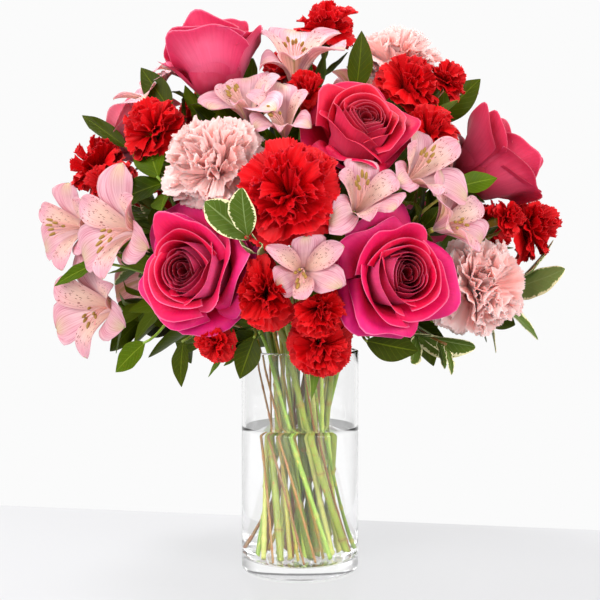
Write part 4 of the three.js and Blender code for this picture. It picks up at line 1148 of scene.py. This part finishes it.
def twig_leaves(place, blades, wavy, blunt, slack, random):
    """A twig's own leaves, one behind the other, each leaning the way that its turn and tilt say. Slack is
    how far they reach in among the heads round them."""
    base = place.middle - place.look * TWIG_DEPTH
    grids = []
    for k, (turn, tilt, length, width) in enumerate(blades):
        aside = place.right * np.cos(np.radians(turn)) + place.up * np.sin(np.radians(turn))
        straight, leaning = np.cos(np.radians(tilt)), np.sin(np.radians(tilt))
        way = place.look * straight + aside * leaning
        normal = place.look * leaning - aside * straight
        root = base - place.look * (2 + TWIG_STEP * k)
        grids.append(leaf_grid(root, way, normal, length, width, blunt, ripple_of(wavy, random)))
    return place.press(np.array(grids), LEAF_CORE, max(place.size / 2, 1), slack)


# The first and the last of a branch's steps that bear a leaf, how far its leaves may rise past a twig's
# place, in millimetres, and how far they stay under a head's, as a share of its size. They reach in among
# their neighbours by the slack.
LEAFY_STEPS = (3, 10)
PAST_TWIG = 8
UNDER_HEAD = 0.32
LEAF_SLACK = 0.5


def stem_leaves(stem, place, tip, count, length, width, wavy, blunt, random):
    """Leaves up a branch, each a golden turn on from the last and leaning out from it by about 35 degrees,
    tucked in under the head so that they fill the gap between it and its neighbours."""
    path = stem.branch(tip, place.look)
    first_step, last_step = LEAFY_STEPS
    grids = []
    for k in range(count):
        step = first_step + (last_step - first_step) * k / max(count - 1, 1)
        here = int(step)
        root = path[here] + (path[here + 1] - path[here]) * (step - here)
        along = path[here + 1] - path[here]
        along /= np.linalg.norm(along)
        first = np.cross(along, [0.3, 0.2, 0.93])
        first /= np.linalg.norm(first)
        turn = GOLDEN_TURN * k + random.uniform(-0.4, 0.4) + stem.radius
        aside = first * np.cos(turn) + np.cross(along, first) * np.sin(turn)
        tilt = np.radians(random.uniform(26, 46))
        way = along * np.cos(tilt) + aside * np.sin(tilt)
        normal = along * np.sin(tilt) - aside * np.cos(tilt)
        size = random.uniform(0.85, 1.15)
        ripple = ripple_of(wavy, random)
        grids.append(leaf_grid(root, way, normal, length * size, width * size, blunt, ripple))
    ceiling = place.reach + PAST_TWIG if place.yields else place.reach - UNDER_HEAD * place.size
    return place.tuck(np.array(grids), LEAF_SLACK, ceiling)


def leaf_finish(name, dark, light, rib, margin, margin_start):
    """A leaf: light and dark patches, a pale midrib, side veins that slant forward, and a ragged margin."""
    finish = Finish(name, {"Subsurface Weight": 0.06, "Subsurface Scale": 0.002, "Specular IOR Level": 0.07})
    across, along, both = finish.own_map()
    draw, _, side = finish.own_sort()
    place = finish.object_place()
    off_middle = (across - 0.5) * (across - 0.5) * 4.0
    from_middle = off_middle**0.5
    mottle = finish.noise(place, 42.0, 3.0)
    wave = finish.node("Math", {"operation": "SINE"}, {0: (along * 9.0 - from_middle * 2.2) * 6.283})
    side_veins = finish.step(wave, 0.9, 1.0)
    midrib = finish.step(from_middle, 0.07, 0.02)
    base = finish.mix(mottle * 0.8 + draw * 0.4 - 0.2, dark, light)
    base = finish.mix(finish.step(side, 0.3, -0.3) * 0.5, base, rib)
    base = finish.mix(side_veins * 0.25, base, rib)
    base = finish.mix(midrib * 0.7, base, rib)
    ragged = finish.noise(finish.stretch(both, (3.0, 26.0, 1.0)), 1.0, 2.0)
    broad_blots = finish.noise(place, 70.0, 1.0)
    edge = from_middle + ragged * 0.5 + broad_blots * 0.3 + along * 0.12
    base = finish.mix(finish.step(edge, margin_start, margin_start + 0.06), base, margin)
    finish.feed(
        Base_Color=base,
        Roughness=0.36 + mottle * 0.16,
        Normal=finish.bump(side_veins + midrib + mottle * 0.4, 0.35, 0.0004),
    )
    return finish


# Dark and light patches, ribs and back, margin, and where the margin starts (2 is never).
LEAF_COLOURS = {
    "rose": [(28, 38, 0), (70, 80, 0), (94, 106, 14), (84, 60, 20), 1.62],
    "carnation": [(66, 92, 24), (102, 126, 44), (124, 144, 68), (110, 140, 70), 2.0],
    "lily": [(48, 70, 0), (94, 116, 6), (118, 136, 34), (90, 120, 30), 2.0],
    "pittosporum": [(54, 74, 14), (100, 120, 46), (134, 152, 92), (226, 220, 172), 1.3],
    "salal": [(24, 36, 0), (56, 68, 0), (82, 96, 12), (40, 60, 10), 2.0],
}
leaf_finishes = {
    name: leaf_finish("leaf_" + name, *paints(colours), margin_start)
    for name, (*colours, margin_start) in LEAF_COLOURS.items()
}
leaf_finishes["spray_carnation"] = leaf_finishes["carnation"]
# Leaves up each branch: how many, their length and width, how much they wave and how blunt they are.
BRANCH_LEAVES = {
    "rose": (8, 54, 29, 0.4, 0.2),
    "carnation": (7, 58, 11, 0.6, 0.0),
    "spray_carnation": (7, 54, 10, 0.6, 0.0),
    "lily": (8, 56, 18, 0.8, 0.1),
    "pittosporum": (7, 46, 23, 1.2, 0.8),
    "salal": (7, 56, 31, 0.4, 0.3),
}
# How far twigs reach in among the heads round them, where it is more than 3 mm.
TWIG_SLACK = {
    "pittosporum_middle": 7.0,
    "pittosporum_right": 30.0,
    "pittosporum_left": 8.0,
    "lily_spray_left": 9.0,
}
# How far behind its place a branch with leaves ends: a share of a head's size, or millimetres for a twig.
LEAFY_END = {"head": 0.42, "twig": 24.0}


def stem_node(name):
    """The node of a plant's stem and leaves. Only a rose and a large carnation have one for them alone."""
    return name + "_stem" if species_of(name) in ("rose", "carnation") else name


for name, plant, random in plants_of():
    kind = plant["kind"]
    ends = [(head, head.middle - head.look * (head.size * LEAFY_END["head"])) for head in plant["heads"]]
    if kind == "greenery":
        kind = name.split("_")[0]
        ends = [(leaf, leaf.middle - leaf.look * LEAFY_END["twig"]) for leaf, _ in plant["leaves"]]
    *sizes, wavy, blunt = BRANCH_LEAVES[kind]
    slack = TWIG_SLACK.get(name, 3.0)
    grids = [twig_leaves(leaf, blades, wavy, blunt, slack, random) for leaf, blades in plant["leaves"]]
    grids += [stem_leaves(plant["stem"], place, tip, *sizes, wavy, blunt, random) for place, tip in ends]
    grids = np.concatenate(grids)
    block = sheet_block(grids, LEAF_THICKNESS, random.random(len(grids)), np.zeros(len(grids)))
    make_piece(name + "_leaves", [block], leaf_finishes[kind], "foliage", stem_node(name))


# ================================================================ stems
# Green stems and brown twigs, cut on a slant, cross in the vase and fork under the heads. Each flower has
# its green cup or hip, which is the top of the same tube.

# A cup is [depth, radius] from its top down, in millimetres. Its top stands under the petals' start by the
# seat.
CUPS = {
    "rose": [[0, 4.6], [2.6, 5.0], [6.5, 5.2], [10, 4.4], [13, 2.7]],
    "carnation": [[0, 5.4], [6, 5.6], [18, 5.2], [24, 3.6], [27, 2.3]],
    "spray_carnation": [[0, 3.4], [4, 3.4], [8, 3.2], [12, 2.0], [14, 1.3]],
    "lily": [[0, 1.7], [3, 2.3], [6, 2.2], [9, 1.4]],
}
SEAT = {"rose": 0.3, "carnation": 0.3, "spray_carnation": 0, "lily": 0}
SINKS = {
    "rose": ROSE_SINK,
    "carnation": CARNATION_SINK,
    "spray_carnation": CARNATION_SINK,
    "lily": LILY_LENGTH * LILY_SINK,
}
# The radius that each kind of stem is drawn with, and how far apart its swollen joints stand.
STEM_LOOKS = {
    "rose": (2.6, 62),
    "carnation": (1.9, 46),
    "spray_carnation": (1.1, 34),
    "lily": (1.7, 54),
    "greenery": (0.9, 26),
}
STEM_SIDES = 12
BRANCH_RADIUS = 1.4
TWIG_END_RADIUS = 1.1
# A joint's half length in millimetres, and how much wider than the stem it is.
JOINT = {"half": 1.7, "swell": 0.28}


def stem_block(stem, kind, tip, look, cup, is_first, draw):
    """One tube from a head's cup down its branch and, for a stem's first head, on down the trunk, where
    it swells as a narrow bell at each joint and ends in a slanting cut."""
    drawn, spacing = STEM_LOOKS[kind]
    below = np.array([depth for depth, _ in cup] or [0.0])
    swollen = np.array([radius for _, radius in cup] or [TWIG_END_RADIUS])
    cup_path = tip - look * below[:, None]
    branch = stem.branch(cup_path[-1], look)[::-1]
    radius = drawn if is_first else BRANCH_RADIUS
    branch_radii = swollen[-1] + (radius - swollen[-1]) * np.linspace(0, 1, len(branch))
    path = np.concatenate([cup_path[:-1], branch])
    radii = np.concatenate([swollen[:-1], branch_radii])
    knots = np.zeros(len(path))
    if is_first:
        trunk = stem.trunk()[::-1][1:]
        travel = np.cumsum(np.linalg.norm(np.diff(trunk, axis=0, prepend=trunk[:1]), axis=1)) + 60 * draw
        from_joint = (travel + spacing / 2) % spacing - spacing / 2
        bells = np.exp(-((from_joint / JOINT["half"]) ** 2))
        wander = 0.05 * np.sin(travel / 13 + 6 * draw)
        path = np.concatenate([path, trunk])
        radii = np.concatenate([radii, drawn * (1 + JOINT["swell"] * bells + wander)])
        knots = np.concatenate([knots, bells])
    across = np.cross([0, 0, 1], look)
    rings = ringed(path[::-1], radii[::-1], across / np.linalg.norm(across), STEM_SIDES)
    if is_first:
        up = path[-2] - path[-1]
        around = np.linspace(0, 2 * np.pi, STEM_SIDES, endpoint=False)[:, None] + 6 * draw
        slant = up / np.linalg.norm(up) * drawn * 0.8
        rings[:2] += slant * (1 + np.cos(around)) * np.array([1, 0.6])[:, None, None]
    block = tube_block(rings)
    block["sort"][:, 0] = draw
    block["sort"][:, 1] = np.repeat(knots[::-1], STEM_SIDES)
    return block


def stem_finish(name, low, high, streak, blush):
    """Stems: a lighter colour low down, painted light where they stand lit in the water, another higher, a
    blush of a third on some stems and deep streak colour on others, which is partly their own darker tone
    and partly painted shade in the sheaf, with darker joints, long streaks, small scars and a little gloss."""
    finish = Finish(name, {"Subsurface Weight": 0.1, "Subsurface Scale": 0.002})
    place = finish.object_place()
    draw, knot, _ = finish.own_sort()
    height = finish.node("SeparateXYZ", {}, {0: place}).output(2)
    streaks = finish.noise(finish.stretch(place, (320.0, 320.0, 16.0)), 1.0, 2.0)
    blotch = finish.noise(place, 38.0, 2.0)
    scars = finish.noise(finish.stretch(place, (400.0, 400.0, 160.0)), 1.0, 2.0)
    # Lighter low down: painted light where the stems stand in the lit water of the vase.
    base = finish.mix(finish.step(height, 0.13, 0.28), low, high)
    base = finish.mix(finish.step(draw + blotch * 0.5, 0.75, 1.05) * 0.9, base, blush)
    # Some stems, by their draw, darker in the streak colour: partly their own tone, partly painted shade in
    # the sheaf.
    base = finish.mix(finish.step(draw, 0.36, 0.28) * 0.65, base, streak)
    base = finish.mix(streaks * 0.7 + blotch * 0.5 - 0.3, base, streak)
    base = finish.mix(finish.step(scars, 0.62, 0.7) * 0.7, base, blush)
    base = finish.mix(knot * 0.55, base, blush)
    base = finish.mix(finish.step(knot, 0.7, 0.95) * 0.5, base, streak)
    finish.feed(
        Base_Color=base,
        Roughness=0.26 + blotch * 0.15,
        Normal=finish.bump(streaks + scars * 0.6, 0.25, 0.0003),
    )
    return finish


# Low down (lighter, painted light in the water), higher up, streaks and blush.
STEM_COLOURS = {
    "rose": [(176, 190, 62), (146, 160, 76), (66, 84, 8), (166, 94, 44)],
    "carnation": [(206, 228, 92), (192, 216, 120), (128, 166, 40), (214, 204, 120)],
    "spray_carnation": [(128, 160, 30), (108, 138, 40), (52, 80, 6), (196, 150, 50)],
    "lily": [(200, 218, 92), (166, 194, 80), (116, 156, 44), (216, 196, 96)],
    "greenery": [(176, 130, 54), (96, 84, 40), (120, 80, 30), (160, 84, 40)],
}
stem_finishes = {
    kind: stem_finish("stem_" + kind.split("_")[0], *paints(colours))
    for kind, colours in STEM_COLOURS.items()
}
for seed, (name, plant) in enumerate(PLANTS.items()):
    kind = plant["kind"]
    tips = []
    for head in plant["heads"]:
        base = head.middle - head.look * (head.size * SINKS[kind] + SEAT[kind])
        tips.append((base, head.look, CUPS[kind]))
    for leaf, _ in plant["leaves"]:
        tips.append((leaf.middle - leaf.look * TWIG_DEPTH, leaf.look, []))
    draw = np.random.default_rng(len(tips) + seed).random()
    blocks = [stem_block(plant["stem"], kind, *tip, k == 0, draw) for k, tip in enumerate(tips)]
    make_piece(name + "_stems", blocks, stem_finishes[kind], "stem", stem_node(name))
